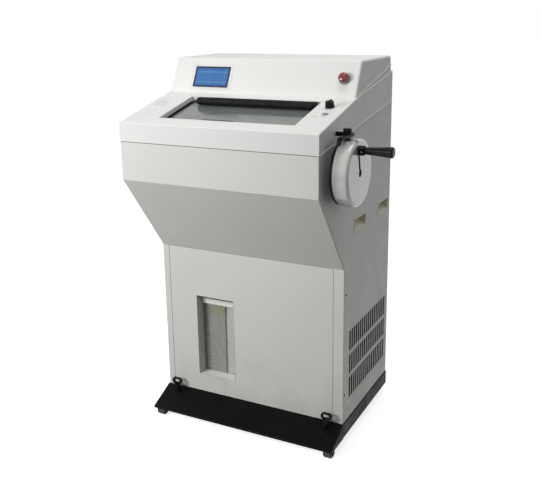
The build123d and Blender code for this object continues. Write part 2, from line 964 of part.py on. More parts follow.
def handwheel():
    """Cast wheel: drum rim with a full front round, flat web, hub boss, ribs and the grip's slot."""
    web_back = wheel_face - wheel_web
    rim_in = wheel_r - wheel_rim
    slot_back = wheel_face - 8
    foot_room = wheel_face - 4
    outline = [
        (wheel_face, 0), (wheel_face, wheel_r), (wheel_back + 2, wheel_r), (wheel_back, wheel_r - 2),
        (wheel_back, rim_in), (web_back, rim_in - 3), (web_back, hub_r + 1), (wheel_back + 6, hub_r),
        (wheel_back + 6, 0),
    ]
    wheel = turned(outline, 0, 0)
    wheel = fillet(wheel.edges().group_by(Axis.X)[-1], rim_round)
    for index in range(6):
        rib = block(wheel_back + 12, web_back + 1, -3, 3, hub_r - 2, rim_in - 1)
        wheel += Rot(60 * index + 30, 0, 0) * rib
    wheel -= rod_across(wheel_back, wheel_face - wheel_web / 2 - 4, 0, 0, shaft_r + running_gap)
    slot = block(slot_back, wheel_face + 1, -slot_width / 2, slot_width / 2, 0, grip_radius + 7)
    slot += block(slot_back, foot_room, -slot_width, slot_width, -foot_half - 1, grip_radius + foot_half + 1)
    return in_wheel(wheel - slot - rod_across(slot_back, wheel_face + 1, 0, 0, 10.5))


def wheel_back_plate():
    """Black disc on the shaft that closes the drum's back."""
    right = wheel_back - 0.3
    left = right - back_plate_width
    outline = [
        (left, shaft_r + running_gap), (left, back_plate_r - 2), (left + 2, back_plate_r),
        (right, back_plate_r), (right, shaft_r + running_gap),
    ]
    return turned(outline, wheel_y, wheel_z)


def wheel_shaft():
    """Shaft from the belt pulley to the handwheel."""
    return rod_across(pulley_left, wheel_face - wheel_web / 2 - 4.5, wheel_y, wheel_z, shaft_r)


def wheel_bearing():
    """Flanged bearing housing, seated on the side panel's inner face."""
    inner_face = half - skin
    outline = [
        (inner_face - 18, shaft_r + running_gap), (inner_face - 18, 19), (inner_face - 10, 20),
        (inner_face - 10, 36), (inner_face, 36), (inner_face, hub_r - 0.5), (half + 3, hub_r - 0.5),
        (half + 3, hub_r - 3), (half + 5, hub_r - 6), (half + 5, shaft_r + running_gap),
    ]
    return turned(outline, wheel_y, wheel_z)


def belt_pulley(y, z):
    """Flanged pulley with a bore for its shaft."""
    right = pulley_left + pulley_width
    outline = [
        (pulley_left, shaft_r + running_gap), (pulley_left, pulley_r + 4), (pulley_left + 2, pulley_r + 4),
        (pulley_left + 2, pulley_r), (right - 2, pulley_r), (right - 2, pulley_r + 4),
        (right, pulley_r + 4), (right, shaft_r + running_gap),
    ]
    return turned(outline, y, z)


def drive_belt():
    """Belt round both pulleys, a hair clear of their grooves."""
    dy = main_y - wheel_y
    dz = main_z - wheel_z
    length = hypot(dy, dz)
    inner_r = pulley_r + belt_gap
    left = pulley_left + (pulley_width - belt_width) / 2
    middle = Pos(0, (main_y + wheel_y) / 2, (main_z + wheel_z) / 2)
    turn = Rot(-degrees(atan(-dz / dy)), 0, 0)
    inner = SlotCenterToCenter(length, 2 * inner_r)
    loop = SlotCenterToCenter(length, 2 * (inner_r + belt_thickness)) - inner
    return middle * turn * extrude(Plane.YZ.offset(left) * loop, amount=belt_width)


def main_shaft():
    """Shaft from the rear pulley through the chamber wall to the crank disc."""
    return rod_across(crank_left + 2, pulley_left + pulley_width, main_y, main_z, shaft_r)


def crank_disc():
    """Disc with a balance recess and its crank pin, at the bottom of its stroke."""
    disc = rod_across(crank_left, crank_left + crank_width, main_y, main_z, crank_r)
    disc -= rod_across(crank_left + 2, crank_left + crank_width + 1, main_y, main_z, shaft_r + running_gap)
    disc -= rod_across(crank_left + 6, crank_left + 20, main_y, main_z + 23, 8)
    return disc + rod_across(crank_left - 6, crank_left, main_y, main_z - crank_throw, 5)


def shaft_seal():
    """Insulating sleeve round the main shaft, through the chamber's wall and foam."""
    outline = [
        (chamber_right - 6, shaft_r + running_gap), (chamber_right - 6, 24),
        (chamber_right - chamber_wall, 24), (chamber_right - chamber_wall, 17.9),
        (chamber_right + foam, 17.9), (chamber_right + foam, 24),
        (chamber_right + foam + 5, 24), (chamber_right + foam + 5, shaft_r + running_gap),
    ]
    return turned(outline, main_y, main_z)


def grip_carrier():
    """Black slide in the wheel's slot with a square collar and the grip's pin."""
    foot = block(
        wheel_face - 7.7, wheel_face - 4.3, -slot_width + 0.5, slot_width - 0.5, -foot_half, foot_half
    )
    neck = block(wheel_face - 4.3, wheel_face + 0.3, -slot_width / 2 + 0.3, slot_width / 2 - 0.3, -7, 7)
    collar = rounded(block(wheel_face + 0.3, collar_end, -10.5, 10.5, -10.5, 10.5), Axis.X, 3)
    pin = rod_across(collar_end, grip_end - 12, 0, 0, grip_pin_r)
    return in_wheel(Pos(0, 0, grip_radius) * (foot + neck + collar + pin))


def crank_grip():
    """Flared sleeve that turns on its pin, with a flat end and a soft edge."""
    near = collar_end + 0.3
    bore = grip_pin_r + running_gap
    outline = Polyline((near, bore), (near, 8.5), (near + 3, 9.5))
    flare = Spline((near + 3, 9.5), (near + 38, 11.5), (grip_end - 6, 14.5))
    edge = ThreePointArc(flare @ 1, (grip_end - 1.6, 13.2), (grip_end, 9.5))
    rest = Polyline(edge @ 1, (grip_end, 0), (grip_end - 11, 0), (grip_end - 11, bore), (near, bore))
    sleeve = revolve(make_face(outline + flare + edge + rest), Axis.X)
    return in_wheel(Pos(0, 0, grip_radius) * sleeve)


def lock_lever():
    """Lever on a pin above the wheel: a flat arm over the drum, a pawl nose and an upright knob."""
    front = lever_y - lever_reach
    top = lever_low + lever_height
    middle = (lever_left + lever_right) / 2
    pin = rod_across(half - skin, lever_left + 1, lever_y, lever_z, lever_pin_r)
    arm = rounded(block(lever_left, lever_right, front, lever_y + 8, lever_low, top), Axis.X, 3)
    nose_points = [
        (front + 12, top), (front - 2, top), (front - 7, lever_low - 2),
        (front - 9, lever_low - 13), (front, lever_low - 11), (front + 12, lever_low + 1),
    ]
    nose = side_prism(nose_points, lever_left + 2, lever_right - 2)
    knob = Pos(middle, lever_y - lever_knob_place, top - 1) * Cone(
        lever_knob_r - 1, lever_knob_r, lever_knob_height + 1, align=(Align.CENTER, Align.CENTER, Align.MIN)
    )
    return pin + arm + nose + fillet(knob.edges().sort_by(Axis.Z)[-1], 2)


def lever_bush():
    """Flanged bush of the lock lever, inside the side panel."""
    inner_face = half - skin
    ring = rod_across(inner_face - 8, inner_face, lever_y, lever_z, 14)
    return ring - rod_across(inner_face - 4, inner_face + 1, lever_y, lever_z, lever_pin_r + running_gap)


# Cold chamber

bevel_run = belly_high - belly_low
bevel_length = hypot(belly_reach, bevel_run)


def bevel_y(z, gap):
    """Y of a line that runs a gap inside the leaning belly, at a height."""
    return (gap - (z - belly_low) * belly_reach / bevel_length) * bevel_length / bevel_run


def bevel_z(y, gap):
    """Height of the same line at a given Y."""
    return belly_low + (gap - y * bevel_run / bevel_length) * bevel_length / belly_reach


chamber_points = [
    (bevel_y(chamber_floor, chamber_bevel_gap), chamber_floor),
    (chamber_front, bevel_z(chamber_front, chamber_bevel_gap)),
    (chamber_front, deck_height(chamber_front, well_depth + chamber_wall)),
    (chamber_back, deck_height(chamber_back, well_depth + chamber_wall)),
    (chamber_back, chamber_floor),
]


def folded_plates(points, thickness, x0, x1):
    """Flat plates along an outline, mitred where they meet."""
    inner = inset(points, thickness)
    plates = []
    for index in range(len(points)):
        following = (index + 1) % len(points)
        quad = [points[index], points[following], inner[following], inner[index]]
        plates.append(side_prism(quad, x0, x1))
    return plates


def chamber_liner():
    """Stainless tub of flat plates with the window's aperture in its sloped top."""
    solids = folded_plates(
        chamber_points, chamber_wall, chamber_left + chamber_wall, chamber_right - chamber_wall
    )
    roof = solids.pop(2)
    far = 2 * half
    for area in (
        (-far, aperture_left, -far, far),
        (aperture_right, far, -far, far),
        (aperture_left, aperture_right, -far, aperture_front),
        (aperture_left, aperture_right, aperture_back, far),
    ):
        solids.append(roof & (deck * block(*area, seat_n - 30, seat_n + 30)))
    wall = side_prism(chamber_points, chamber_right - chamber_wall, chamber_right)
    solids.append(wall - rod_across(0, half, main_y, main_z, 18))
    solids.append(side_prism(chamber_points, chamber_left, chamber_left + chamber_wall))
    return solids


def insulation():
    """Foam boards round the tub, below the deck, mitred where they meet."""
    grown = inset(chamber_points, -foam)
    top_gap = well_depth + chamber_wall
    for index in (2, 3):
        grown[index] = (grown[index][0], deck_height(grown[index][0], top_gap))
    boards = []
    for index in (0, 1, 3, 4):
        following = (index + 1) % len(grown)
        quad = [grown[index], grown[following], chamber_points[following], chamber_points[index]]
        boards.append(side_prism(quad, chamber_left, chamber_right))
    boards[2] -= rod_along(chamber_back - 1, chamber_back + 2 * foam, suction_x, suction_z, 6)
    boards[3] -= rod_up(chamber_floor - 2 * foam, chamber_floor + 1, drain_x, drain_y, 8.5)
    side = side_prism(grown, chamber_right, chamber_right + foam)
    boards.append(side - rod_across(0, half, main_y, main_z, 18))
    boards.append(mirror(side, about=Plane.YZ.offset((chamber_left + chamber_right) / 2)))
    return boards


def evaporator():
    """Finned plate on the chamber's back wall."""
    back = chamber_back - chamber_wall
    plate = block(chamber_left + 12, -70, back - 6, back, 730, 900)
    count = 11
    pitch = (-70 - chamber_left - 12 - 2) / (count - 1)
    for index in range(count):
        x = chamber_left + 12 + index * pitch
        plate += block(x, x + 2, back - 28, back - 6, 730, 900)
    return plate


def chamber_lamp():
    """Lamp tube in its holder on the chamber's front wall."""
    y = chamber_front + chamber_wall
    base = block(-110, 110, y, y + 5, 930, 950)
    for x in (-106, 100):
        base += block(x, x + 6, y + 5, y + 22, 932, 948)
    return base


def lamp_tube():
    return rod_across(-100, 100, chamber_front + chamber_wall + 14, 940, 6)


def freezing_shelf():
    """Aluminium block on the chamber's left wall with round pockets."""
    left = chamber_left + chamber_wall
    shelf = block(left, left + 108, -30, 110, shelf_top - 24, shelf_top)
    shelf = rounded(shelf, Axis.Z, 2)
    for x, y in shelf_places():
        shelf -= rod_up(shelf_top - 15, shelf_top + 1, x, y, 6.2)
    return shelf


def shelf_places():
    left = chamber_left + chamber_wall
    return [(left + 30 + 48 * column, 5 + 60 * row) for column in range(2) for row in range(2)]


def specimen_discs():
    """Spare discs whose stems stand in the shelf's pockets."""
    solids = []
    for x, y in shelf_places():
        disc = rod_up(shelf_top, shelf_top + 5, x, y, 19) + rod_up(shelf_top - 12, shelf_top, x, y, 6)
        for offset_y in (-9, 0, 9):
            disc -= block(x - 20, x + 20, y + offset_y - 1, y + offset_y + 1, shelf_top + 4, shelf_top + 6)
        solids.append(disc)
    return solids


# Microtome

def microtome_bed():
    """Bed plate on the chamber's floor with the knife's rail."""
    floor = chamber_floor + chamber_wall
    bed = rounded(block(-60, 150, -36, 208, floor, bed_top), Axis.Z, 6)
    bed += block(-14, 14, -36, 60, bed_top, bed_top + 8)
    return bed + block(-20, 20, -36, 60, bed_top + 8, bed_top + 14)


def column():
    """Ribbed column behind the carriage."""
    body = block(-45, 45, 180, 206, bed_top, rod_top + 14)
    for x in (-26, 26):
        body -= block(x - 14, x + 14, 194, 207, bed_top + 20, rod_top - 20)
    return body


def top_bracket():
    """Bracket on the column that holds the guide rods' upper ends."""
    bracket = block(-45, 45, 135, 180, rod_top, rod_top + 14)
    bracket = rounded(bracket, Axis.Z, 4)
    return bracket


def guide_rods():
    """Two ground rods with stop collars under the carriage."""
    solids = []
    for side in (-1, 1):
        solids.append(rod_up(bed_top, rod_top, side * rod_x, rod_y, rod_r))
        collar = rod_up(carriage_bottom - 14, carriage_bottom - 0.3, side * rod_x, rod_y, rod_r + 4)
        bore = rod_up(carriage_bottom - 15, carriage_bottom, side * rod_x, rod_y, rod_r + running_gap)
        solids.append(collar - bore)
    return solids


def carriage():
    """Specimen carriage with rod bores, a feed bore and the crank's yoke."""
    top = carriage_bottom + carriage_height
    body = rounded(block(-42, 42, 118, 172, carriage_bottom, top), Axis.Z, 5)
    for side in (-1, 1):
        body -= rod_up(carriage_bottom - 1, top + 1, side * rod_x, rod_y, rod_r + running_gap)
    body -= rod_along(100, 180, 0, feed_z, feed_r + running_gap)
    yoke_z = main_z - crank_throw
    yoke = block(42, 46 - 2, main_y - 42, main_y + 42, yoke_z - 12, yoke_z + 12)
    yoke -= block(41, 47, main_y - 34, main_y + 34, yoke_z - 5.5, yoke_z + 5.5)
    return body + yoke


def feed_cylinder():
    """Feed cylinder through the carriage, with the head's ball on a neck at its front."""
    nose = head_pivot_y + 7
    cylinder = rod_along(nose + 5, 172, 0, feed_z, feed_r) + rod_along(nose, nose + 5, 0, feed_z, 14)
    neck = rod_along(head_pivot_y, nose, 0, feed_z, 4.5)
    return cylinder + neck + Pos(0, head_pivot_y, feed_z) * Sphere(head_ball_r)


def specimen_head():
    """Orientation head: a socket plate round the ball and a clamp screw."""
    ring = rod_along(46, head_pivot_y + 3.5, 0, feed_z, 24)
    ring = chamfer(ring.faces().sort_by(Axis.Y)[0].edges(), 2)
    ring -= rod_along(45, 52, 0, feed_z, 6.1)
    ring -= Pos(0, head_pivot_y, feed_z) * Sphere(head_ball_r + 0.3)
    screw_y = head_pivot_y - 5
    screw = rod_across(20, 44, screw_y, feed_z, 4) + rod_across(44, 52, screw_y, feed_z, 8)
    return ring + screw


def mounted_disc():
    """Specimen disc clamped in the head."""
    disc = rod_along(36, 41, 0, feed_z, 20) + rod_along(41, 51, 0, feed_z, 6)
    for offset_z in (-9, 0, 9):
        disc -= block(-21, 21, 35, 37, feed_z + offset_z - 1, feed_z + offset_z + 1)
    return disc


def main_bearing():
    """Pedestal bearing of the main shaft, bolted to the bed."""
    outline = [
        (main_y - 34, bed_top), (main_y - 34, bed_top + 10), (main_y - 22, bed_top + 16),
        (main_y - 22, main_z + 12), (main_y - 12, main_z + 24),
        (main_y + 12, main_z + 24), (main_y + 22, main_z + 12),
        (main_y + 22, bed_top + 16), (main_y + 34, bed_top + 10), (main_y + 34, bed_top),
    ]
    pedestal = side_prism(outline, 84, 120)
    return pedestal - rod_across(80, 130, main_y, main_z, shaft_r + running_gap)


knife_top = 858.0


def knife_base():
    """Knife base on its rail, with its hold-down groove and a front cut back like the chamber wall."""
    low = bed_top + 0.3
    wall_gap = chamber_bevel_gap + chamber_wall + 1.5
    body = rounded(block(-56, 56, knife_front, 24, low, 800), Axis.Z, 4)
    body -= side_prism(
        [
            (knife_front - 8, low - 1),
            (bevel_y(low - 1, wall_gap) + knife_travel, low - 1),
            (knife_front - 8, bevel_z(knife_front - 8 - knife_travel, wall_gap)),
        ],
        -57, 57,
    )
    body -= block(-14.3, 14.3, -60, 40, low - 1, bed_top + 8.3)
    body -= rod_across(-57, -43, -14, 762, 5 + running_gap)
    return body - block(-20.3, 20.3, -60, 40, bed_top + 7.7, bed_top + 14.3)


def knife_holder():
    """Sloped blade holder with ears for the anti-roll plate's pin."""
    outline = [(-46, 800), (-46, 812), (-38, 820), (-2, knife_top - 2), (4, knife_top - 2), (12, 800)]
    body = side_prism(outline, -46, 46)
    body += side_prism([(-50, 800), (-50, 818), (-44, 823), (-38, 818), (-38, 800)], 40, 46)
    body += side_prism([(-50, 800), (-50, 818), (-44, 823), (-38, 818), (-38, 800)], -46, -40)
    body -= rod_across(-50, 50, -44, 817, 2.5 + running_gap)
    body -= rod_across(38, 47, -16, 816, 4 + running_gap)
    seat = side_prism([(-43, 806), (-52, 806), (-52, 826), (-36, 826)], -39.7, 39.7)
    return body - seat


def holder_back(z):
    """Y of the holder's back face, which carries the blade, at a height."""
    return 4 + (knife_top - 2 - z) * 8 / (knife_top - 2 - 800)


def blade():
    """Disposable blade on the holder's back face, its edge standing proud."""
    foot = 838
    bevel = 862
    edge = 863
    outline = [
        (holder_back(foot), foot), (holder_back(bevel), bevel),
        (holder_back(edge) + 0.4, edge), (holder_back(foot) + 1, foot),
    ]
    return side_prism(outline, -38, 38)


def pressure_plate():
    """Plate that clamps the blade."""
    return side_prism(
        [
            (holder_back(812), 812), (holder_back(837.8), 837.8), (holder_back(838) + 1.02, 838),
            (holder_back(854) + 1.02, 854), (holder_back(852) + 4, 852), (holder_back(812) + 4, 812),
        ],
        -40, 40,
    )


def blade_lever():
    """Small lever that clamps the blade, on the holder's right end."""
    hub = rod_across(46.3, 54, -16, 816, 8) + rod_across(38, 46.3, -16, 816, 4)
    arm = block(48, 53, -52, -16, 812, 820)
    ball = Pos(50.5, -54, 816) * Sphere(6)
    return hub + arm + ball


def base_lever():
    """Lever that locks the knife base to its rail, on its left side."""
    hub = rod_across(base_lever_x - 5, -56.3, -14, 762, 9) + rod_across(-56.3, -44, -14, 762, 5)
    arm = rod_up(762, 806, base_lever_x, -14, 3.5)
    return hub + arm + Pos(base_lever_x, -14, 808) * Sphere(7)


def anti_roll_plate():
    """Clear plate on its pin, lying just off the holder's slope."""
    direction = (knife_top - 820 - 2) / 36
    start = -42.0
    low = 821.2
    reach = 33.0
    thick = 3.5
    plate = side_prism(
        [
            (start, low), (start + reach, low + reach * direction),
            (start + reach - thick, low + reach * direction + thick), (start - thick, low + thick),
        ],
        -32, 32,
    )
    pin = rod_across(-46, 46, -44, 817, 2.5)
    tab = side_prism([(-45, 817), (-42, 817), (start + 1, low + 1), (start - thick, low + thick)], -32, 32)
    return plate + pin + tab


# Refrigeration and electrics in the cabinet

pan_top = cabinet_bottom + 2
compressor_x = 90.0
compressor_y = 235.0
compressor_r = 72.0
supply_width = 68.0
supply_length = 150.0
supply_height = 153.0
supply_side_gap = 14.0
supply_rear_gap = 33.0
fan_y = (grille_front + grille_back) / 2
fan_z = (grille_bottom + grille_top) / 2
fan_r = 88.0
condenser_right = half - skin - 8
condenser_depth = 32.0
shroud_depth = 26.0
pipe_r = 4.0
suction_pipe_r = 5.0
port_end = 74.0
discharge_port = (40.0, pan_top + 126)
suction_port = (-30.0, pan_top + 90)


def compressor():
    """Hermetic compressor: domed can, base plate with four feet and a terminal cover."""
    low = pan_top + 14
    outline = Polyline((0, low), (compressor_r, low), (compressor_r, low + 128))
    dome = ThreePointArc((compressor_r, low + 128), (compressor_r * 0.75, low + 162), (12, low + 178))
    close = Polyline((12, low + 178), (0, low + 178), (0, low))
    can = revolve(Plane.XZ * make_face(outline + dome + close), Axis.Z)
    can += rod_up(low + 62, low + 68, 0, 0, compressor_r + 4)
    can += block(-compressor_r - 16, -compressor_r + 8, -18, 18, low + 80, low + 124)
    plate = rounded(block(-82, 82, -66, 66, low - 5, low), Axis.Z, 10)
    body = can + plate
    for (x, z), radius in ((discharge_port, pipe_r), (suction_port, suction_pipe_r)):
        body += rod_along(45, port_end, x, z, radius + 1.5)
    for x in (-68, 68):
        for y in (-52, 52):
            body += rod_up(pan_top, low - 5, x, y, 10)
    return Pos(compressor_x, compressor_y, 0) * body


def condenser():
    """Fin block with its header bends, just inside the grille."""
    left = condenser_right - condenser_depth
    core = block(left + 3, condenser_right - 3, fan_y - 140, fan_y + 140, fan_z - 100, fan_z + 100)
    for index in range(20):
        z = fan_z - 95 + index * 10
        core -= block(condenser_right - 9, condenser_right + 1, fan_y - 134, fan_y + 134, z + 2, z + 8)
    for hand in (-1, 1):
        near = fan_y + hand * 140
        far = near + hand * 4
        core += block(left, condenser_right, min(near, far), max(near, far), pan_top, fan_z + 106)
    return core


def fan_shroud():
    """Plate with a ring that guides the air from the condenser to the fan."""
    right = condenser_right - condenser_depth
    left = right - shroud_depth
    plate = block(right - 3, right, fan_y - 128, fan_y + 128, pan_top, fan_z + 106)
    ring = rod_across(left, right - 3, fan_y, fan_z, fan_r + 5)
    bore = rod_across(left - 1, right + 1, fan_y, fan_z, fan_r + 2)
    shroud = plate + ring - bore
    arm = block(left, left + 4, fan_y - fan_r - 4, fan_y + fan_r + 4, fan_z - 5, fan_z + 5)
    return shroud + arm


def fan_motor():
    """Motor on the shroud's cross arm."""
    left = condenser_right - condenser_depth - shroud_depth
    motor = rod_across(left - 36, left, fan_y, fan_z, 26)
    return chamfer(motor.faces().sort_by(Axis.X)[0].edges(), 4)


def condenser_fan():
    """Five-bladed fan on the motor's shaft."""
    left = condenser_right - condenser_depth - shroud_depth + 4.5
    hub = rod_across(left, left + 14, fan_y, fan_z, 20)
    fan = hub
    for index in range(5):
        flat = block(-1, 1, -17, 17, 16, fan_r - 2)
        fan += Pos(left + 8, fan_y, fan_z) * Rot(72 * index, 0, 0) * Rot(0, 0, 24) * flat
    return fan


def pipe(points, radius):
    """A pipe along runs joined by arcs."""
    shortest = min(
        hypot(*[b - a for a, b in zip(points[i], points[i + 1])]) for i in range(len(points) - 1)
    )
    path = FilletPolyline(*points, radius=min(18, 0.45 * shortest))
    start = Plane(origin=path @ 0, z_dir=path % 0)
    return sweep(start * Circle(radius), path=path)


def discharge_pipe():
    """From the compressor's side to the condenser's top header."""
    port_x, port_z = discharge_port
    top = pan_top + 152
    header_y = fan_y + 144 + pipe_r + 0.2
    return pipe(
        [
            (compressor_x + port_x, compressor_y + port_end, port_z),
            (compressor_x + port_x, header_y + 10, port_z),
            (compressor_x + port_x, header_y + 10, top + 50),
            (condenser_right - 16, header_y + 10, top + 50),
            (condenser_right - 16, header_y - pipe_r, top + 50),
        ],
        pipe_r,
    )


def suction_pipe():
    """From the compressor up to the evaporator behind the chamber."""
    port_x, port_z = suction_port
    rise = chamber_points[-1][1] - foam - 20
    return pipe(
        [
            (compressor_x + port_x, compressor_y + port_end, port_z),
            (compressor_x + port_x, compressor_y + compressor_r + 26, port_z),
            (compressor_x + port_x, compressor_y + compressor_r + 26, rise),
            (suction_x, compressor_y + compressor_r + 26, rise),
            (suction_x, compressor_y + compressor_r + 26, suction_z),
            (suction_x, chamber_back, suction_z),
        ],
        suction_pipe_r,
    )


def filter_drier():
    """Filter cartridge held at the condenser's lower outlet."""
    x = condenser_right - 16
    y = fan_y + 140 + 4 + 13
    can = rod_up(pan_top + 10, pan_top + 90, x, y, 12.8)
    can += rod_up(pan_top, pan_top + 10, x, y, 5) + rod_up(pan_top + 90, pan_top + 104, x, y, 4)
    return can


def power_supply():
    """Power supply on the floor pan, with vent slots across its lid."""
    left = skin + supply_side_gap - half
    right = left + supply_width
    back = body_depth - skin - supply_rear_gap
    front = back - supply_length
    top = pan_top + supply_height
    box = rounded(block(left, right, front, back, pan_top, top), Axis.Z, 3)
    for index in range(7):
        y = front + 10 + index * 20
        box -= block(left - 1, right + 1, y, y + 6, top - 6, top + 1)
    return box


def mains_inlet():
    """Panel inlet with a fuse drawer and three pins."""
    body = block(-219.5, -170.5, body_depth - 26, body_depth, 138.5, 181.5)
    body += rounded(block(-224, -166, body_depth, body_depth + 3, 134, 186), Axis.Y, 3)
    body -= rounded(block(-213, -177, body_depth - 16, body_depth + 4, 143, 166), Axis.Y, 4)
    body += block(-209, -181, body_depth + 3, body_depth + 5, 170, 180)
    for x, z in ((-195, 160), (-203, 151), (-187, 151)):
        body += block(x - 1, x + 1, body_depth - 16, body_depth - 1, z - 2.5, z + 2.5)
    return body


def drain_hose():
    """Hose from the chamber's floor to the waste tank."""
    middle = (tank_left + tank_right) / 2
    y = tank_setback + tank_length - 40
    top = chamber_floor
    path = pipe(
        [
            (drain_x, drain_y, top),
            (drain_x, drain_y, top - 60),
            (middle, y, top - 150),
            (middle, y, recess_top + recess_wall),
        ],
        8,
    )
    return path


def drain_spout():
    """Spout in the recess's roof, over the hole of the tank's cap."""
    middle = (tank_left + tank_right) / 2
    y = tank_setback + tank_length - 40
    low = tank_high + tank_rim + 1
    return rod_up(low, recess_top, middle, y, 9) - rod_up(low - 1, recess_top - 3, middle, y, 6)


nodes = {
    "base_frame": base_frame() + [floor_pan()],
    "base_skirt": base_skirt(),
    "base_fittings": roller_brackets() + castor_plates() + jack_bushes(),
    "left_front_roller": front_roller(-1),
    "right_front_roller": front_roller(1),
    "left_castor_fork": castor_fork(-1),
    "right_castor_fork": castor_fork(1),
    "left_castor_wheel": castor_wheel(-1),
    "right_castor_wheel": castor_wheel(1),
    "left_jack": [jack_stem(-1), jack_nut(-1), jack_handle(-1)],
    "right_jack": [jack_stem(1), jack_nut(1), jack_handle(1)],
    "left_side_panel": left_side_panel(),
    "right_side_panel": right_side_panel(),
    "rear_panel": rear_panel(),
    "belly_fascia": belly_fascia(),
    "front_posts": front_posts(),
    "front_panel": front_panel(),
    "tank_recess": tank_recess(),
    "waste_tank": waste_tank(),
    "tank_cap": tank_cap(),
    "side_grille": side_grille(),
    "flush_grips": flush_grips(1) + flush_grips(-1),
    "deck_cover": deck_cover(),
    "window_seals": window_gasket() + [bulb_seal()],
    "glass_pane": glass_pane(),
    "window_pull": window_pull(),
    "console_cover": console_cover(),
    "display_bezel": display_bezel(),
    "display_screen": display_screen(),
    "control_blocks": [
        stop_collar(), stop_block(), selector_switch(), lamp_switch(), display_module(), power_supply()
    ],
    "stop_button": stop_button(),
    "selector_knob": selector_knob(),
    "lamp_button": lamp_button(),
    "keypad": keypad(),
    "handwheel": handwheel(),
    "wheel_shaft": [wheel_shaft(), belt_pulley(wheel_y, wheel_z), wheel_back_plate()],
    "shaft_bearings": [wheel_bearing(), lever_bush(), shaft_seal()],
    "drive_belt": drive_belt(),
    "main_shaft": [main_shaft(), belt_pulley(main_y, main_z), crank_disc()],
    "grip_carrier": grip_carrier(),
    "crank_grip": crank_grip(),
    "lock_lever": lock_lever(),
    "chamber_liner": chamber_liner() + window_rails(),
    "insulation": insulation(),
    "chamber_fittings": [evaporator(), chamber_lamp(), lamp_tube()],
    "freezing_shelf": [freezing_shelf()] + specimen_discs(),
    "microtome_frame": [microtome_bed(), column(), top_bracket(), main_bearing()] + guide_rods(),
    "carriage": carriage(),
    "feed_cylinder": feed_cylinder(),
    "specimen_head": [specimen_head(), mounted_disc()],
    "knife_stage": [knife_base(), knife_holder()],
    "base_lever": base_lever(),
    "blade": [blade(), pressure_plate()],
    "blade_lever": blade_lever(),
    "anti_roll_plate": anti_roll_plate(),
    "compressor": compressor(),
    "condenser_pack": [condenser(), fan_shroud(), fan_motor()],
    "condenser_fan": condenser_fan(),
    "pipework": [discharge_pipe(), suction_pipe(), filter_drier(), drain_hose(), drain_spout()],
    "mains_inlet": mains_inlet(),
}


def as_shape(item):
    """One solid, or a group of solids, for a node."""
    if not isinstance(item, list):
        return item
    solids = []
    for shape in item:
        solids.extend(shape.solids())
    return Compound(children=solids)


shapes = {name: as_shape(item) for name, item in nodes.items()}
boxes = [shape.bounding_box() for shape in shapes.values()]
origin_x = (min(box.min.X for box in boxes) + max(box.max.X for box in boxes)) / 2
origin_y = (min(box.min.Y for box in boxes) + max(box.max.Y for box in boxes)) / 2

os.makedirs("parts", exist_ok=True)
for name, shape in shapes.items():
    export_step(Pos(-origin_x, -origin_y, 0) * shape, f"parts/{name}.step")
print(f"{len(shapes)} nodes, origin {origin_x:.3f} {origin_y:.3f}")
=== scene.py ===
"""A cryostat microtome: looks, small parts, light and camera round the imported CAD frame.

All lengths are metres in the frame's own axes: X to the operator's right, Y to the back, Z up.
"""
from math import cos, pi, radians, sin, tan

import bmesh
import bpy
from mathutils import Matrix, Vector


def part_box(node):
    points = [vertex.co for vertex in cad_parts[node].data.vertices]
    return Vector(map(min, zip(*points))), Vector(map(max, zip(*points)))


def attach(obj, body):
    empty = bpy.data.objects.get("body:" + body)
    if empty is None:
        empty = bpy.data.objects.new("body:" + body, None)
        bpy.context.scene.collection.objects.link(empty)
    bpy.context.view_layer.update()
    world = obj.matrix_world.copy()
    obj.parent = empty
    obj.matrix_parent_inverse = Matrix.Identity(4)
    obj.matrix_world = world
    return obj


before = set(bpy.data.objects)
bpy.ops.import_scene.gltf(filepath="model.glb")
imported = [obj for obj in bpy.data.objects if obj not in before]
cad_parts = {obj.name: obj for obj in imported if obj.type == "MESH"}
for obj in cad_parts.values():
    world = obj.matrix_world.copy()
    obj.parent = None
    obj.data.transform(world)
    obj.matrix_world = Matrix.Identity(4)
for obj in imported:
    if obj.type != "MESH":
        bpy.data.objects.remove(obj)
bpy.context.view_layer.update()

# Sizes shared with the CAD source
deck_angle = radians(13.4)
deck_front_height = 0.974
console_angle = radians(63.8)
console_setback = 0.079
grip_tilt = radians(12.7)
lever_knob_y = -0.102
selector_x, selector_y = 0.261, 0.192
bay_left, bay_right, bay_low, bay_high = -0.190, -0.058, 0.135, 0.405
joint_front_height, joint_back_height = 0.9196, 0.9983
grip_places = (0.120, 0.325)
grip_floor = 0.6551

# Places read from the frame
left_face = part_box("left_side_panel")[0].x
right_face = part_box("right_side_panel")[1].x
middle = (left_face + right_face) / 2
body_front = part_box("front_panel")[0].y
body_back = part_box("rear_panel")[1].y
deck_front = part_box("deck_cover")[0].y
console_height = deck_front_height + (console_setback + body_front - deck_front) * tan(deck_angle)
tank_low, tank_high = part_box("waste_tank")
tank_step = tank_low.x + 0.62 * (tank_high.x - tank_low.x)
SIDES = (("left", -1), ("right", 1))


def tilted(y, z, angle):
    """The frame of a sloped surface: local X to the right, Y up the slope and Z out of it."""
    return Matrix.Translation((middle, y, z)) @ Matrix.Rotation(angle, 4, "X")


deck = tilted(deck_front, deck_front_height, deck_angle)
console = tilted(body_front + console_setback, console_height, console_angle)


def on_deck(x, y, z=0.0):
    """A frame on the deck at a point given from its front edge's middle."""
    return deck @ Matrix.Translation((x, y, z))


def place(x, y, z):
    """A point given from the cabinet's middle, its front and the floor."""
    return Vector((middle + x, body_front + y, z))


wheel_hub = place(0.0, -0.088, 0.864)
wheel_hub.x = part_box("handwheel")[1].x


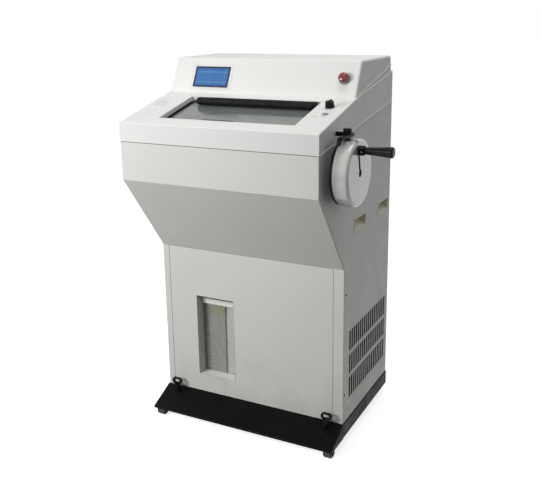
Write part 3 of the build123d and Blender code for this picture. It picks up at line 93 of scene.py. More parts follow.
def linear(red, green, blue):
    """An 8-bit screen colour as linear values with full cover."""
    values = []
    for channel in (red, green, blue):
        share = channel / 255
        values.append(share / 12.92 if share <= 0.04045 else ((share + 0.055) / 1.055) ** 2.4)
    return (*values, 1.0)


def scaled(colour, factor):
    """A colour made darker or brighter, up to white."""
    return (*(min(1.0, factor * channel) for channel in colour[:3]), 1.0)


# Materials

class Finish:
    """A material with short ways to add the nodes of a surface."""

    def __init__(self, name, colour, roughness=0.5, metallic=0.0):
        self.material = bpy.data.materials.new(name)
        self.material.use_nodes = True
        self.tree = self.material.node_tree
        self.shader = self.tree.nodes["Principled BSDF"]
        self.colour = colour
        self.shader.inputs["Base Color"].default_value = colour
        self.shader.inputs["Roughness"].default_value = roughness
        self.shader.inputs["Metallic"].default_value = metallic
        self.place = self.node("ShaderNodeTexCoord").outputs["Object"]
        self.normal = None

    def node(self, kind, **settings):
        made = self.tree.nodes.new(kind)
        for key, value in settings.items():
            setattr(made, key, value)
        return made

    def link(self, source, target):
        self.tree.links.new(source, target)

    def stretched(self, x, y, z):
        """Object coordinates scaled along each axis, for grain that runs one way."""
        mapping = self.node("ShaderNodeMapping")
        mapping.inputs["Scale"].default_value = (x, y, z)
        self.link(self.place, mapping.inputs["Vector"])
        return mapping.outputs["Vector"]

    def noise(self, scale, detail, vector=None):
        """Noise with so many waves to the metre, as a value from 0 to 1."""
        made = self.node("ShaderNodeTexNoise")
        made.inputs["Scale"].default_value = scale
        made.inputs["Detail"].default_value = detail
        made.inputs["Roughness"].default_value = 0.55
        self.link(vector or self.place, made.inputs["Vector"])
        return made.outputs["Fac"]

    def spread(self, value, low, high, start=0.0, end=1.0):
        """The value between low and high, stretched smoothly from start to end."""
        made = self.node("ShaderNodeMapRange", interpolation_type="SMOOTHSTEP")
        made.inputs["From Min"].default_value = low
        made.inputs["From Max"].default_value = high
        made.inputs["To Min"].default_value = start
        made.inputs["To Max"].default_value = end
        self.link(value, made.inputs["Value"])
        return made.outputs["Result"]

    def math(self, operation, first, second):
        """A linked value put together with another one or with a number."""
        made = self.node("ShaderNodeMath", operation=operation)
        self.link(first, made.inputs[0])
        if isinstance(second, float):
            made.inputs[1].default_value = second
        else:
            self.link(second, made.inputs[1])
        return made.outputs["Value"]

    def sum(self, first, second):
        return self.math("ADD", first, second)

    def times(self, first, second):
        return self.math("MULTIPLY", first, second)

    def axis(self, letter):
        """One of the object's own coordinates, in metres."""
        made = self.node("ShaderNodeSeparateXYZ")
        self.link(self.place, made.inputs["Vector"])
        return made.outputs[letter]

    def tint(self, share, over):
        """Lays one more colour over what the base colour is so far."""
        made = self.node("ShaderNodeMix", data_type="RGBA")
        self.link(share, made.inputs["Factor"])
        if isinstance(self.colour, tuple):
            made.inputs[6].default_value = self.colour
        else:
            self.link(self.colour, made.inputs[6])
        made.inputs[7].default_value = over
        self.colour = made.outputs[2]
        self.link(self.colour, self.shader.inputs["Base Color"])

    def patches(self, scale, detail, low, high, share, over):
        """Lays soft patches of a colour over the base colour, where noise is high."""
        self.tint(self.spread(self.noise(scale, detail), low, high, 0.0, share), over)

    def vary_roughness(self, scale, detail, low, high):
        self.drive("Roughness", self.noise(scale, detail), 0.3, 0.7, low, high)

    def drive(self, socket, value, *limits):
        """Links a value, spread between limits, to one of the shader's sockets."""
        self.link(self.spread(value, *limits), self.shader.inputs[socket])

    def relief(self, height, depth):
        """Adds bumps of a real depth in metres."""
        made = self.node("ShaderNodeBump")
        made.inputs["Strength"].default_value = 1.0
        made.inputs["Distance"].default_value = depth
        self.link(height, made.inputs["Height"])
        if self.normal is not None:
            self.link(self.normal, made.inputs["Normal"])
        self.normal = made.outputs["Normal"]
        self.link(self.normal, self.shader.inputs["Normal"])

    def grain(self, scale, detail, depth):
        """Adds bumps made of noise."""
        self.relief(self.noise(scale, detail), depth)

    def edges(self, radius):
        """A share that grows at sharp edges within a radius."""
        bevel = self.node("ShaderNodeBevel", samples=4)
        bevel.inputs["Radius"].default_value = radius
        flat = self.node("ShaderNodeNewGeometry").outputs["Normal"]
        angle = self.node("ShaderNodeVectorMath", operation="DOT_PRODUCT")
        self.link(bevel.outputs["Normal"], angle.inputs[0])
        self.link(flat, angle.inputs[1])
        return self.spread(angle.outputs["Value"], 1.0, 0.75)

    def set(self, **values):
        """Sets uniform values on the shader's own sockets."""
        for key, value in values.items():
            self.shader.inputs[key.replace("_", " ")].default_value = value


def light_paint(name, colour, roughness, peel):
    """Pale powder coat or moulded cover: orange peel, faint clouding, dust near the floor."""
    clean_from, dusty_below = 0.34, 0.08
    made = Finish(name, colour, roughness)
    made.patches(2.6, 4.0, 0.40, 0.72, 0.35, scaled(colour, 0.90))
    made.patches(260.0, 2.0, 0.62, 0.80, 0.10, linear(150, 148, 140))
    low = made.spread(made.axis("Z"), clean_from, dusty_below, 0.0, 0.32)
    patch = made.spread(made.noise(9.0, 5.0), 0.30, 0.75)
    made.tint(made.times(low, patch), linear(176, 173, 163))
    made.vary_roughness(38.0, 4.0, roughness - 0.05, roughness + 0.08)
    made.grain(520.0, 2.0, peel)
    made.set(Specular_IOR_Level=0.30)
    return made.material


def grille_paint(face):
    """The cabinet's paint, with painted shade on the slot walls below the grille's outer face."""
    made = Finish("grille_paint", linear(216, 217, 212), 0.44)
    made.patches(9.0, 5.0, 0.40, 0.75, 0.25, linear(188, 186, 178))
    # painted shade: the slot walls below the grille's outer face are tinted dark
    made.tint(made.spread(made.axis("X"), face - 0.0003, face - 0.0006), linear(44, 46, 48))
    made.vary_roughness(38.0, 4.0, 0.40, 0.52)
    made.grain(520.0, 2.0, 0.00006)
    made.set(Specular_IOR_Level=0.20)
    return made.material


def filter_cloth():
    """Matt charcoal filter mat with loose fibres and caught dust, kept dark as painted shade behind the
    grille's slots.
    """
    made = Finish("filter_cloth", linear(26, 28, 31), 0.95)
    made.patches(320.0, 5.0, 0.50, 0.72, 0.5, linear(58, 60, 62))
    made.patches(14.0, 5.0, 0.48, 0.78, 0.4, linear(74, 73, 70))
    made.grain(520.0, 4.0, 0.0006)
    made.set(Specular_IOR_Level=0.03)
    return made.material


def wheel_paint():
    """Glossy paint on the cast wheel: finger marks, painted shade towards the drum's back edge and painted
    shade in the grip slot and hub pocket.
    """
    slot_half, pocket_radius, soft = 0.0056, 0.0107, 0.0005
    face = wheel_hub.x
    made = Finish("wheel_paint", linear(188, 190, 186), 0.24)
    made.patches(14.0, 5.0, 0.48, 0.75, 0.08, linear(180, 179, 170))
    # painted shade: the drum darkens towards its back edge, next to the cabinet
    made.tint(made.spread(made.axis("X"), face - 0.016, face - 0.036, 0.0, 0.55), linear(120, 121, 119))
    beside = made.sum(made.axis("Y"), -wheel_hub.y)
    above = made.sum(made.axis("Z"), -wheel_hub.z)
    across = made.sum(made.times(beside, cos(grip_tilt)), made.times(above, sin(grip_tilt)))
    in_slot = made.spread(made.times(across, across), (slot_half + soft) ** 2, slot_half ** 2)
    around = made.sum(made.times(beside, beside), made.times(above, above))
    in_pocket = made.spread(around, (pocket_radius + soft) ** 2, pocket_radius ** 2)
    # painted shade: the sunk walls of the grip slot and the hub pocket are tinted near black
    sunk = made.spread(made.axis("X"), face - 0.0003, face - 0.0009)
    slot_painted_shade = made.times(made.math("MAXIMUM", in_slot, in_pocket), sunk)
    made.tint(slot_painted_shade, (0.012, 0.012, 0.011, 1.0))
    made.vary_roughness(22.0, 2.0, 0.24, 0.28)
    made.grain(180.0, 2.0, 0.00003)
    made.set(Coat_Weight=1.0, Coat_Roughness=0.15)
    return made.material


def black_coat(name, chips):
    """Black powder coat with dust, scuffs and worn edges that show steel."""
    made = Finish(name, (0.0045, 0.0045, 0.005, 1.0), 0.5)
    made.patches(11.0, 6.0, 0.45, 0.80, 0.05, linear(80, 79, 75))
    streak = made.spread(made.noise(30.0, 6.0, made.stretched(1.0, 9.0, 9.0)), 0.66, 0.76, 0.0, 0.08)
    made.tint(streak, linear(96, 97, 98))
    worn = made.times(made.edges(0.0016), made.spread(made.noise(70.0, 5.0), 0.52, 0.62))
    made.tint(made.times(worn, chips), linear(150, 150, 148))
    made.vary_roughness(45.0, 4.0, 0.34, 0.56)
    made.grain(640.0, 3.0, 0.00010)
    made.set(Specular_IOR_Level=0.06)
    return made.material


def black_plastic(name, gloss, gleam):
    """Moulded black plastic with a fine grain and rubbed high spots."""
    made = Finish(name, (0.005, 0.005, 0.0055, 1.0), gloss)
    rubbed = made.times(made.edges(0.0012), made.spread(made.noise(90.0, 4.0), 0.40, 0.70))
    made.tint(made.times(rubbed, 0.12), linear(74, 74, 74))
    made.vary_roughness(120.0, 3.0, gloss - 0.06, gloss + 0.12)
    made.grain(1400.0, 2.0, 0.00003)
    made.set(Specular_IOR_Level=gleam)
    return made.material


def rubber():
    """Soft black rubber with a bloom of grey."""
    made = Finish("black_rubber", (0.006, 0.006, 0.006, 1.0), 0.62)
    made.patches(26.0, 5.0, 0.45, 0.78, 0.10, linear(88, 87, 84))
    made.vary_roughness(80.0, 4.0, 0.52, 0.74)
    made.grain(420.0, 3.0, 0.00008)
    made.set(Specular_IOR_Level=0.12)
    return made.material


def tread():
    """Hard wheel tread with floor dust in its surface."""
    made = Finish("wheel_tread", linear(44, 44, 45), 0.66)
    made.patches(60.0, 6.0, 0.42, 0.70, 0.55, linear(104, 101, 94))
    made.grain(500.0, 4.0, 0.00015)
    return made.material


def tank_plastic():
    """Cloudy natural plastic, darker behind its thick left part, with a stained patch high up."""
    patch_down, patch_left = 0.028, 0.022
    made = Finish("cloudy_tank", linear(196, 199, 191), 0.30)
    thick = made.spread(made.axis("X"), tank_step + 0.001, tank_step - 0.001)
    made.tint(made.times(thick, 0.85), linear(137, 140, 132))
    height = made.sum(made.axis("Z"), patch_down - tank_high.z)
    near = made.spread(made.times(height, height), 0.0, 0.0007, 0.75, 0.0)
    beside = made.sum(made.axis("X"), patch_left - tank_step)
    inside = made.spread(made.times(beside, beside), 0.0002, 0.0012, 1.0, 0.0)
    made.tint(made.times(near, inside), linear(140, 142, 104))
    streak = made.spread(made.noise(40.0, 5.0, made.stretched(6.0, 6.0, 0.35)), 0.40, 0.72, 0.0, 0.22)
    made.tint(streak, linear(206, 209, 201))
    made.vary_roughness(50.0, 4.0, 0.22, 0.42)
    made.grain(160.0, 3.0, 0.00012)
    made.set(Transmission_Weight=0.15, IOR=1.45)
    return made.material


def white_plastic():
    """Moulded white plastic, yellowed in soft patches."""
    made = Finish("white_plastic", linear(236, 236, 232), 0.40)
    made.patches(18.0, 5.0, 0.44, 0.76, 0.25, linear(212, 210, 200))
    made.vary_roughness(70.0, 3.0, 0.34, 0.50)
    made.grain(600.0, 2.0, 0.00004)
    return made.material


def plain_plastic(name, colour, roughness=0.42):
    """Moulded plastic with a fine spark-eroded grain."""
    made = Finish(name, colour, roughness)
    made.patches(30.0, 5.0, 0.42, 0.76, 0.35, scaled(colour, 0.75))
    made.vary_roughness(90.0, 3.0, roughness - 0.05, roughness + 0.10)
    made.grain(1100.0, 2.0, 0.00004)
    return made.material


def window_glass():
    """Heated pane with a veil of condensation that gathers in soft patches."""
    made = Finish("heated_glass", linear(168, 173, 168), 0.06)
    veil = made.spread(made.noise(9.0, 4.0), 0.34, 0.70)
    made.tint(made.times(veil, 0.4), linear(128, 134, 130))
    made.vary_roughness(16.0, 5.0, 0.03, 0.16)
    made.grain(7.0, 1.0, 0.00012)
    made.set(Transmission_Weight=0.62, IOR=1.5, Specular_IOR_Level=0.6)
    return made.material


def clear_plate():
    made = Finish("clear_plate", linear(226, 232, 230), 0.08)
    made.patches(45.0, 4.0, 0.45, 0.75, 0.3, linear(190, 200, 198))
    made.vary_roughness(60.0, 3.0, 0.05, 0.16)
    made.grain(90.0, 2.0, 0.00003)
    made.set(Transmission_Weight=0.9, IOR=1.49)
    return made.material


def display_glow():
    """Blue liquid-crystal display with faint blank fields and a fine pixel grid."""
    made = Finish("blue_display", linear(60, 101, 154), 0.36)
    fields = made.node("ShaderNodeTexBrick", offset=0.0)
    fields.inputs["Scale"].default_value = 1.0
    fields.inputs["Brick Width"].default_value = 0.052
    fields.inputs["Row Height"].default_value = 0.0145
    fields.inputs["Mortar Size"].default_value = 0.0009
    fields.inputs["Color1"].default_value = linear(65, 106, 159)
    fields.inputs["Color2"].default_value = linear(69, 111, 165)
    fields.inputs["Mortar"].default_value = linear(92, 132, 181)
    made.link(made.place, fields.inputs["Vector"])
    made.colour = fields.outputs["Color"]
    made.patches(900.0, 1.0, 0.45, 0.65, 0.25, linear(54, 93, 147))
    made.link(made.colour, made.shader.inputs["Emission Color"])
    made.set(Emission_Strength=0.08, Specular_IOR_Level=0.08)
    return made.material


def display_frame():
    made = Finish("navy_frame", linear(24, 36, 66), 0.25)
    made.patches(120.0, 3.0, 0.45, 0.75, 0.3, linear(34, 48, 84))
    made.vary_roughness(80.0, 2.0, 0.20, 0.34)
    made.grain(800.0, 2.0, 0.00002)
    return made.material


def red_head():
    """Glossy dark red mushroom head with a rubbed rim."""
    made = Finish("red_head", linear(124, 20, 28), 0.26)
    made.patches(70.0, 4.0, 0.40, 0.70, 0.5, linear(100, 14, 22))
    made.tint(made.times(made.edges(0.0015), 0.35), linear(196, 88, 88))
    made.vary_roughness(90.0, 3.0, 0.20, 0.36)
    made.grain(900.0, 2.0, 0.00003)
    made.set(Coat_Weight=0.4, Coat_Roughness=0.12)
    return made.material


def metal(name, colour, roughness, grain, tarnish=0.25, lengthwise=(1.0, 1.0, 1.0)):
    """Bare metal with a directional grain, a little tarnish and brighter edges."""
    made = Finish(name, colour, roughness, 1.0)
    made.patches(24.0, 6.0, 0.45, 0.80, tarnish, scaled(colour, 0.62))
    lines = made.noise(grain, 4.0, made.stretched(*lengthwise))
    made.drive("Roughness", lines, 0.3, 0.7, roughness - 0.08, roughness + 0.14)
    made.relief(lines, 0.00004)
    made.tint(made.times(made.edges(0.0008), 0.5), scaled(colour, 1.3))
    return made.material


def shaft_metal(plate_start, pale_start):
    """Ground steel shaft and pulley; the disc behind the handwheel is black, then pale beside the drum."""
    made = Finish("shaft_steel", linear(186, 186, 184), 0.26, 1.0)
    lines = made.noise(60.0, 4.0, made.stretched(1.0, 14.0, 14.0))
    made.relief(lines, 0.00004)
    enamel = made.spread(made.axis("X"), plate_start - 0.0004, plate_start)
    made.tint(enamel, (0.004, 0.004, 0.0045, 1.0))
    made.tint(made.spread(made.axis("X"), pale_start - 0.0002, pale_start), linear(170, 171, 168))
    made.drive("Metallic", enamel, 0.0, 1.0, 1.0, 0.0)
    made.drive("Roughness", enamel, 0.0, 1.0, 0.26, 0.48)
    made.set(Specular_IOR_Level=0.08)
    return made.material


def frosted_metal():
    """Aluminium in the cold chamber with patches of white frost."""
    made = Finish("frosted_aluminium", linear(176, 178, 180), 0.40, 0.85)
    frost = made.spread(made.noise(42.0, 7.0), 0.44, 0.62)
    made.tint(frost, linear(226, 232, 236))
    made.drive("Metallic", frost, 0.0, 1.0, 0.9, 0.1)
    made.drive("Roughness", frost, 0.0, 1.0, 0.35, 0.85)
    made.grain(700.0, 5.0, 0.0002)
    return made.material


def foam_board():
    """Pale rigid foam with small closed cells."""
    made = Finish("rigid_foam", linear(222, 208, 164), 0.85)
    cells = made.node("ShaderNodeTexVoronoi")
    cells.inputs["Scale"].default_value = 420.0
    made.link(made.place, cells.inputs["Vector"])
    made.tint(made.spread(cells.outputs["Distance"], 0.2, 0.8, 0.0, 0.4), linear(190, 172, 124))
    made.relief(cells.outputs["Distance"], 0.0003)
    return made.material


def belt_rubber():
    made = Finish("belt_rubber", (0.014, 0.014, 0.014, 1.0), 0.55)
    made.patches(55.0, 5.0, 0.44, 0.75, 0.4, linear(70, 68, 64))
    made.grain(900.0, 2.0, 0.0001)
    return made.material


def print_ink(name, colour):
    """Thin screen-printed ink, a little broken at its edge."""
    made = Finish(name, colour, 0.5)
    made.patches(700.0, 3.0, 0.55, 0.75, 0.35, linear(190, 190, 186))
    made.grain(1500.0, 2.0, 0.00002)
    return made.material


# Mesh building

def add_object(name, data):
    """Makes an object of some data and puts it in the scene."""
    made = bpy.data.objects.new(name, data)
    bpy.context.scene.collection.objects.link(made)
    return made


def new_piece(name, mesh_data, material, body, where=None):
    """Makes an object of a finished bmesh, in place, riding on a body."""
    mesh = bpy.data.meshes.new(name)
    mesh_data.to_mesh(mesh)
    mesh_data.free()
    piece = add_object(name, mesh)
    for polygon in mesh.polygons:
        polygon.use_smooth = True
    mesh.set_sharp_from_angle(angle=radians(35))
    mesh.materials.append(material)
    if where is not None:
        piece.matrix_world = where
    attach(piece, body)


def tube(name, points, radius, material, capped):
    """Makes a round tube along points, riding on the root."""
    curve = bpy.data.curves.new(name, "CURVE")
    curve.dimensions = "3D"
    spline = curve.splines.new("POLY")
    spline.points.add(len(points) - 1)
    for point, spot in zip(spline.points, points):
        point.co = (*spot, 1.0)
    curve.bevel_depth = radius
    curve.bevel_resolution = 3
    curve.use_fill_caps = capped
    curve.materials.append(material)
    made = add_object(name, curve)
    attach(made, "root")
    return made


def join_rings(made, lower, upper):
    """Joins two rings of as many corners by four-sided faces."""
    for step in range(len(lower)):
        following = (step + 1) % len(lower)
        made.faces.new([lower[step], lower[following], upper[following], upper[step]])


def add_prism(made, first, second):
    """Adds a closed prism between two outlines of points, its faces looking out."""
    ends = [[made.verts.new(point) for point in outline] for outline in (first, second)]
    join_rings(made, *ends)
    made.faces.new(ends[0])
    made.faces.new(reversed(ends[1]))
    bmesh.ops.recalc_face_normals(made, faces=made.faces)


def lathe(profile):
    """A bmesh turned about local Z from (radius, height) points."""
    segments = 24
    made = bmesh.new()
    rings = []
    for radius, height in profile:
        if radius == 0.0:
            rings.append([made.verts.new((0, 0, height))])
            continue
        ring = []
        for step in range(segments):
            angle = 2 * pi * step / segments
            ring.append(made.verts.new((radius * cos(angle), radius * sin(angle), height)))
        rings.append(ring)
    for lower, upper in zip(rings, rings[1:]):
        for step in range(segments):
            following = (step + 1) % segments
            corners = [lower[step % len(lower)], lower[following % len(lower)]]
            corners += [upper[following % len(upper)], upper[step % len(upper)]]
            corners = list(dict.fromkeys(corners))
            if len(corners) > 2:
                made.faces.new(corners)
    bmesh.ops.recalc_face_normals(made, faces=made.faces)
    return made


def add_box(made, low, high, turn=None):
    """Adds a box between two corners to a bmesh, turned by a matrix if one is given."""
    size = Vector(high) - Vector(low)
    centre = (Vector(high) + Vector(low)) / 2
    matrix = Matrix.Translation(centre) @ Matrix.Diagonal((*size, 1.0))
    if turn is not None:
        matrix = turn @ matrix
    bmesh.ops.create_cube(made, size=1.0, matrix=matrix)


def soften(made, width, segments=2):
    """Bevels every sharp edge of a bmesh."""
    sharp = [edge for edge in made.edges if edge.is_manifold and edge.calc_face_angle() > radians(40)]
    bmesh.ops.bevel(made, geom=sharp, offset=width, segments=segments, affect="EDGES", profile=0.6)


def rounded_outline(width, height, radius):
    """Points of a rounded rectangle about the origin."""
    steps = 6
    points = []
    for corner_x, corner_y, start in ((1, 1, 0), (-1, 1, 90), (-1, -1, 180), (1, -1, 270)):
        x = corner_x * (width / 2 - radius)
        y = corner_y * (height / 2 - radius)
        for step in range(steps + 1):
            angle = radians(start + 90 * step / steps)
            points.append((x + radius * cos(angle), y + radius * sin(angle)))
    return points


def ring_plate(outline, hole, thickness):
    """A bmesh plate on local Z = 0 with a hole of as many points as its outline."""
    made = bmesh.new()
    outer = [[made.verts.new((x, y, z)) for x, y in outline] for z in (0.0, thickness)]
    inner = [[made.verts.new((x, y, z)) for x, y in hole] for z in (0.0, thickness)]
    join_rings(made, outer[0], outer[1])
    join_rings(made, inner[1], inner[0])
    join_rings(made, outer[1], inner[1])
    join_rings(made, inner[0], outer[0])
    bmesh.ops.recalc_face_normals(made, faces=made.faces)
    return made


def facing(point, direction, spin=0.0):
    """A frame at a point whose local Z looks along a direction."""
    turn = Vector(direction).to_track_quat("Z", "Y").to_matrix().to_4x4()
    return Matrix.Translation(point) @ turn @ Matrix.Rotation(spin, 4, "Z")


# Fasteners

def pan_head(radius):
    """Pan-head screw with a cross recess, standing on local Z = 0."""
    height = 0.62 * radius
    half = 0.14 * radius
    reach = 0.58 * radius
    floor = 0.25 * height
    profile = [(radius, 0.0), (radius, 0.25 * height), (0.93 * radius, 0.60 * height)]
    profile += [(0.78 * radius, 0.86 * height), (0.62 * radius, 0.97 * height)]
    made = lathe(profile)
    rim = [edge for edge in made.edges if edge.is_boundary and edge.verts[0].co.z > 0.9 * height]
    cross = [
        (reach, half), (half, half), (half, reach), (-half, reach), (-half, half), (-reach, half),
        (-reach, -half), (-half, -half), (-half, -reach), (half, -reach), (half, -half), (reach, -half),
    ]
    top = [made.verts.new((x, y, height)) for x, y in cross]
    deep = [made.verts.new((0.6 * x, 0.6 * y, floor)) for x, y in cross]
    join_rings(made, top, deep)
    made.faces.new(deep)
    edges = [made.edges.get(pair) for pair in zip(top, top[1:] + top[:1])]
    bmesh.ops.bridge_loops(made, edges=rim + edges)
    bmesh.ops.recalc_face_normals(made, faces=made.faces)
    return made


def hex_head(radius):
    """Hexagon-head bolt with a washer, standing on local Z = 0."""
    washer = 1.25 * radius
    seat = 0.18 * radius
    made = lathe([(0.0, 0.0), (washer, 0.0), (washer, seat), (0.0, seat)])
    outline = [(radius * cos(pi * k / 3), radius * sin(pi * k / 3)) for k in range(6)]
    low = [made.verts.new((x, y, seat)) for x, y in outline]
    high = [made.verts.new((x, y, 0.75 * radius)) for x, y in outline]
    crown = [made.verts.new((0.84 * x, 0.84 * y, 0.85 * radius)) for x, y in outline]
    join_rings(made, low, high)
    join_rings(made, high, crown)
    made.faces.new(crown)
    bmesh.ops.recalc_face_normals(made, faces=made.faces)
    return made


def fasteners(name, head, points, direction, material):
    """One head at each point, all looking one way, each at its own angle."""
    for number, point in enumerate(points, 1):
        where = facing(point, direction, 0.9 * number)
        new_piece(f"{name}_{number}", head.copy(), material, "root", where)
    head.free()


# Small parts

def cabinet_screws(steel, black):
    """Screws of the panels, grille, mains inlet and console, from the photo or as such parts need."""
    right = (1, 0, 0)
    left = (-1, 0, 0)
    back = (0, 1, 0)
    seam = [(0.015, 0.480), (0.008, 0.167)]
    for side, x, outward in (("right", right_face, right), ("left", left_face, left)):
        points = [Vector((x, body_front + y, z)) for y, z in seam]
        fasteners(f"seam_screw_{side}", pan_head(0.0032), points, outward, black)

    low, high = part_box("side_grille")
    margin = 0.006
    ys = (low.y + margin, (low.y + high.y) / 2, high.y - margin)
    zs = (low.z + margin, (low.z + high.z) / 2, high.z - margin)
    rim = [Vector((high.x, y, z)) for y in ys for z in zs if not (y == ys[1] and z == zs[1])]
    fasteners("grille_screw", pan_head(0.0026), rim, right, steel)

    low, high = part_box("rear_panel")
    margin = 0.014
    columns = (low.x + margin, high.x - margin)
    rows = [low.z + margin + step * (high.z - low.z - 2 * margin) / 4 for step in range(5)]
    points = [Vector((x, high.y, z)) for x in columns for z in rows]
    points += [Vector(((low.x + high.x) / 2, high.y, z)) for z in (rows[0], rows[-1])]
    fasteners("rear_screw", pan_head(0.0034), points, back, steel)

    low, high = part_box("mains_inlet")
    margin, sunk = 0.0045, 0.002
    middle_z = (low.z + high.z) / 2
    points = [Vector((x, high.y - sunk, middle_z)) for x in (low.x + margin, high.x - margin)]
    fasteners("inlet_screw", pan_head(0.0022), points, back, black)

    low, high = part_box("console_cover")
    margin = 0.03
    for side, x, outward in (("left", low.x, left), ("right", high.x, right)):
        points = [Vector((x, high.y - margin, high.z - margin))]
        fasteners(f"console_screw_{side}", pan_head(0.003), points, outward, steel)


def rear_louvres(paint):
    """Small hoods pressed over the rear vent slots."""
    half, lip, cheek = 0.047, 0.0045, 0.0012
    top, bottom = 0.0050, -0.0025
    first_x, pitch_x, first_z, pitch_z = 0.060, 0.110, 0.420, 0.016
    outline = [(0.0, top), (0.8 * lip, top - 0.0012), (lip, bottom - 0.0002)]
    outline += [(lip - 0.0012, bottom - 0.0002), (0.55 * lip, top - 0.0035), (0.0, top - 0.0022)]
    for row in range(8):
        for column in range(2):
            made = bmesh.new()
            left, right = ([(x, y, z) for y, z in outline] for x in (-half, half))
            add_prism(made, left, right)
            for x in (-half, half - cheek):
                add_box(made, (x, -0.0001, bottom), (x + cheek, 0.8 * lip, top - 0.0014))
            centre = place(first_x + pitch_x * column, 0, first_z + pitch_z * row)
            centre.y = body_back
            where = Matrix.Translation(centre)
            new_piece(f"louvre_{column + 1}_{row + 1}", made, paint, "root", where)


def display_overlay(paint):
    """Thin plate round the display, whose edge shows as a faint line on the console."""
    centre_x, centre_y, bezel_shift = -0.170, 0.051, 0.001
    outer = rounded_outline(0.144, 0.086, 0.005)
    hole = [(x + bezel_shift, y) for x, y in rounded_outline(0.1224, 0.0664, 0.0032)]
    where = console @ Matrix.Translation((centre_x, centre_y, 0.0))
    new_piece("display_overlay", ring_plate(outer, hole, 0.0007), paint, "root", where)


def printed_marks(ink):
    """Tick marks round the selector, short lines under the lamp button and on the keypad."""
    thickness = 0.00012
    made = bmesh.new()
    for step in range(7):
        turn = Matrix.Rotation(radians(135 - 45 * step), 4, "Z")
        add_box(made, (-0.0005, 0.0165, 0.0), (0.0005, 0.0195, thickness), turn)
    new_piece("selector_ticks", made, ink, "root", on_deck(selector_x, selector_y))

    made = bmesh.new()
    for x in (-0.027, -0.004):
        add_box(made, (x, -0.0012, 0.0), (x + 0.011, 0.0004, thickness))
    new_piece("button_marks", made, ink, "root", on_deck(0.268, 0.1205))

    made = bmesh.new()
    key_pitch, key_height = 0.015, 0.0013
    outline = rounded_outline(0.0175, 0.0058, 0.0016)
    hole = [(0.93 * x, 0.86 * y) for x, y in outline]
    for step in (-1, 0, 1):
        border = ring_plate(outline, hole, thickness)
        bmesh.ops.translate(border, verts=border.verts, vec=(0.0, key_pitch * step, key_height))
        mesh = bpy.data.meshes.new("key_border")
        border.to_mesh(mesh)
        border.free()
        made.from_mesh(mesh)
        bpy.data.meshes.remove(mesh)
    new_piece("key_borders", made, ink, "root", on_deck(-0.2745, 0.159))


def knob_line(white):
    """White pointer line on the selector's ridge."""
    ridge = 0.0204
    made = bmesh.new()
    add_box(made, (-0.0008, 0.0005, 0.0), (0.0008, 0.0105, 0.0002))
    new_piece("selector_line", made, white, "selector_knob", on_deck(selector_x, selector_y, ridge))


def level_marks(ink):
    """Moulded level marks down the tank's front, each fifth one longer."""
    count, margin, half_height = 26, 0.015, 0.0011
    front = tank_low.y
    left = tank_low.x + 0.006
    rise = (tank_high.z - tank_low.z - 2 * margin) / (count - 1)
    made = bmesh.new()
    for step in range(count):
        z = tank_low.z + margin + step * rise
        right = left + (0.028 if step % 5 == 0 else 0.019)
        add_box(made, (left, front - 0.0005, z - half_height), (right, front + 0.0001, z + half_height))
    new_piece("tank_level_marks", made, ink, "waste_tank")


def tank_ribs(plastic):
    """Upright ribs moulded on the tank's front where its step is."""
    half, sunk = 0.0009, 0.0002
    low, high = tank_low.z + 0.006, tank_high.z - 0.004
    front = tank_low.y
    made = bmesh.new()
    for x, depth in ((tank_step - 0.0016, 0.0012), (tank_low.x + 0.0028, 0.0010)):
        add_box(made, (x - half, front - depth, low), (x + half, front + sunk, high))
    soften(made, 0.0003)
    new_piece("tank_ribs", made, plastic, "waste_tank")


def lever_flutes(black):
    """Fluted sleeve on the lock lever's upright knob."""
    sides, flutes, clearance, top_edge = 72, 12, 0.0005, 0.016
    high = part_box("lock_lever")[1]
    foot = Vector((high.x - 0.006, body_front + lever_knob_y, high.z - 0.0165))
    rings = [(0.0, 0.0086), (0.003, 0.0088), (0.009, 0.0092)]
    rings += [(0.0145, 0.0095), (0.0165, 0.0084), (0.0170, 0.0060)]
    made = bmesh.new()
    loops = []
    for height, radius in rings:
        depth = 0.0009 if height < top_edge else 0.0003
        loop = []
        for step in range(sides):
            angle = 2 * pi * step / sides
            reach = radius + clearance - depth * (0.5 + 0.5 * cos(flutes * angle))
            loop.append(made.verts.new((reach * cos(angle), reach * sin(angle), height)))
        loops.append(loop)
    for lower, upper in zip(loops, loops[1:]):
        join_rings(made, lower, upper)
    made.faces.new(loops[-1])
    made.faces.new(reversed(loops[0]))
    new_piece("lock_lever_flutes", made, black, "lock_lever", Matrix.Translation(foot))


def grip_screw(dark_metal):
    """Set screw in the side of the grip's collar."""
    hub = Matrix.Translation(wheel_hub) @ Matrix.Rotation(grip_tilt, 4, "X")
    collar_side = Vector((0.011, -0.0105, 0.064))
    where = hub @ facing(collar_side, (0, -1, 0))
    new_piece("grip_set_screw", pan_head(0.0026), dark_metal, "grip_carrier", where)


def base_details(steel, black):
    """Weld beads at the base's front posts and the castors' bolts."""
    low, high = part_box("base_frame")
    bead, pitch, inset, first_z = 0.0019, 0.0019, 0.0405, 0.030
    for side, x in (("left", low.x + inset), ("right", high.x - inset)):
        made = bmesh.new()
        for step in range(22):
            where = Matrix.Translation((x, body_front + inset, first_z + step * pitch))
            bmesh.ops.create_icosphere(made, subdivisions=1, radius=bead, matrix=where)
        new_piece(f"weld_{side}", made, black, "root")
    castor_x, castor_y, plate_low = 0.220, 0.300, 0.072
    for side, sign in SIDES:
        points = []
        for dx in (-0.023, 0.023):
            for dy in (-0.018, 0.018):
                points.append(place(sign * castor_x + dx, castor_y + dy, plate_low))
        fasteners(f"castor_bolt_{side}", hex_head(0.0035), points, (0, 0, -1), steel)


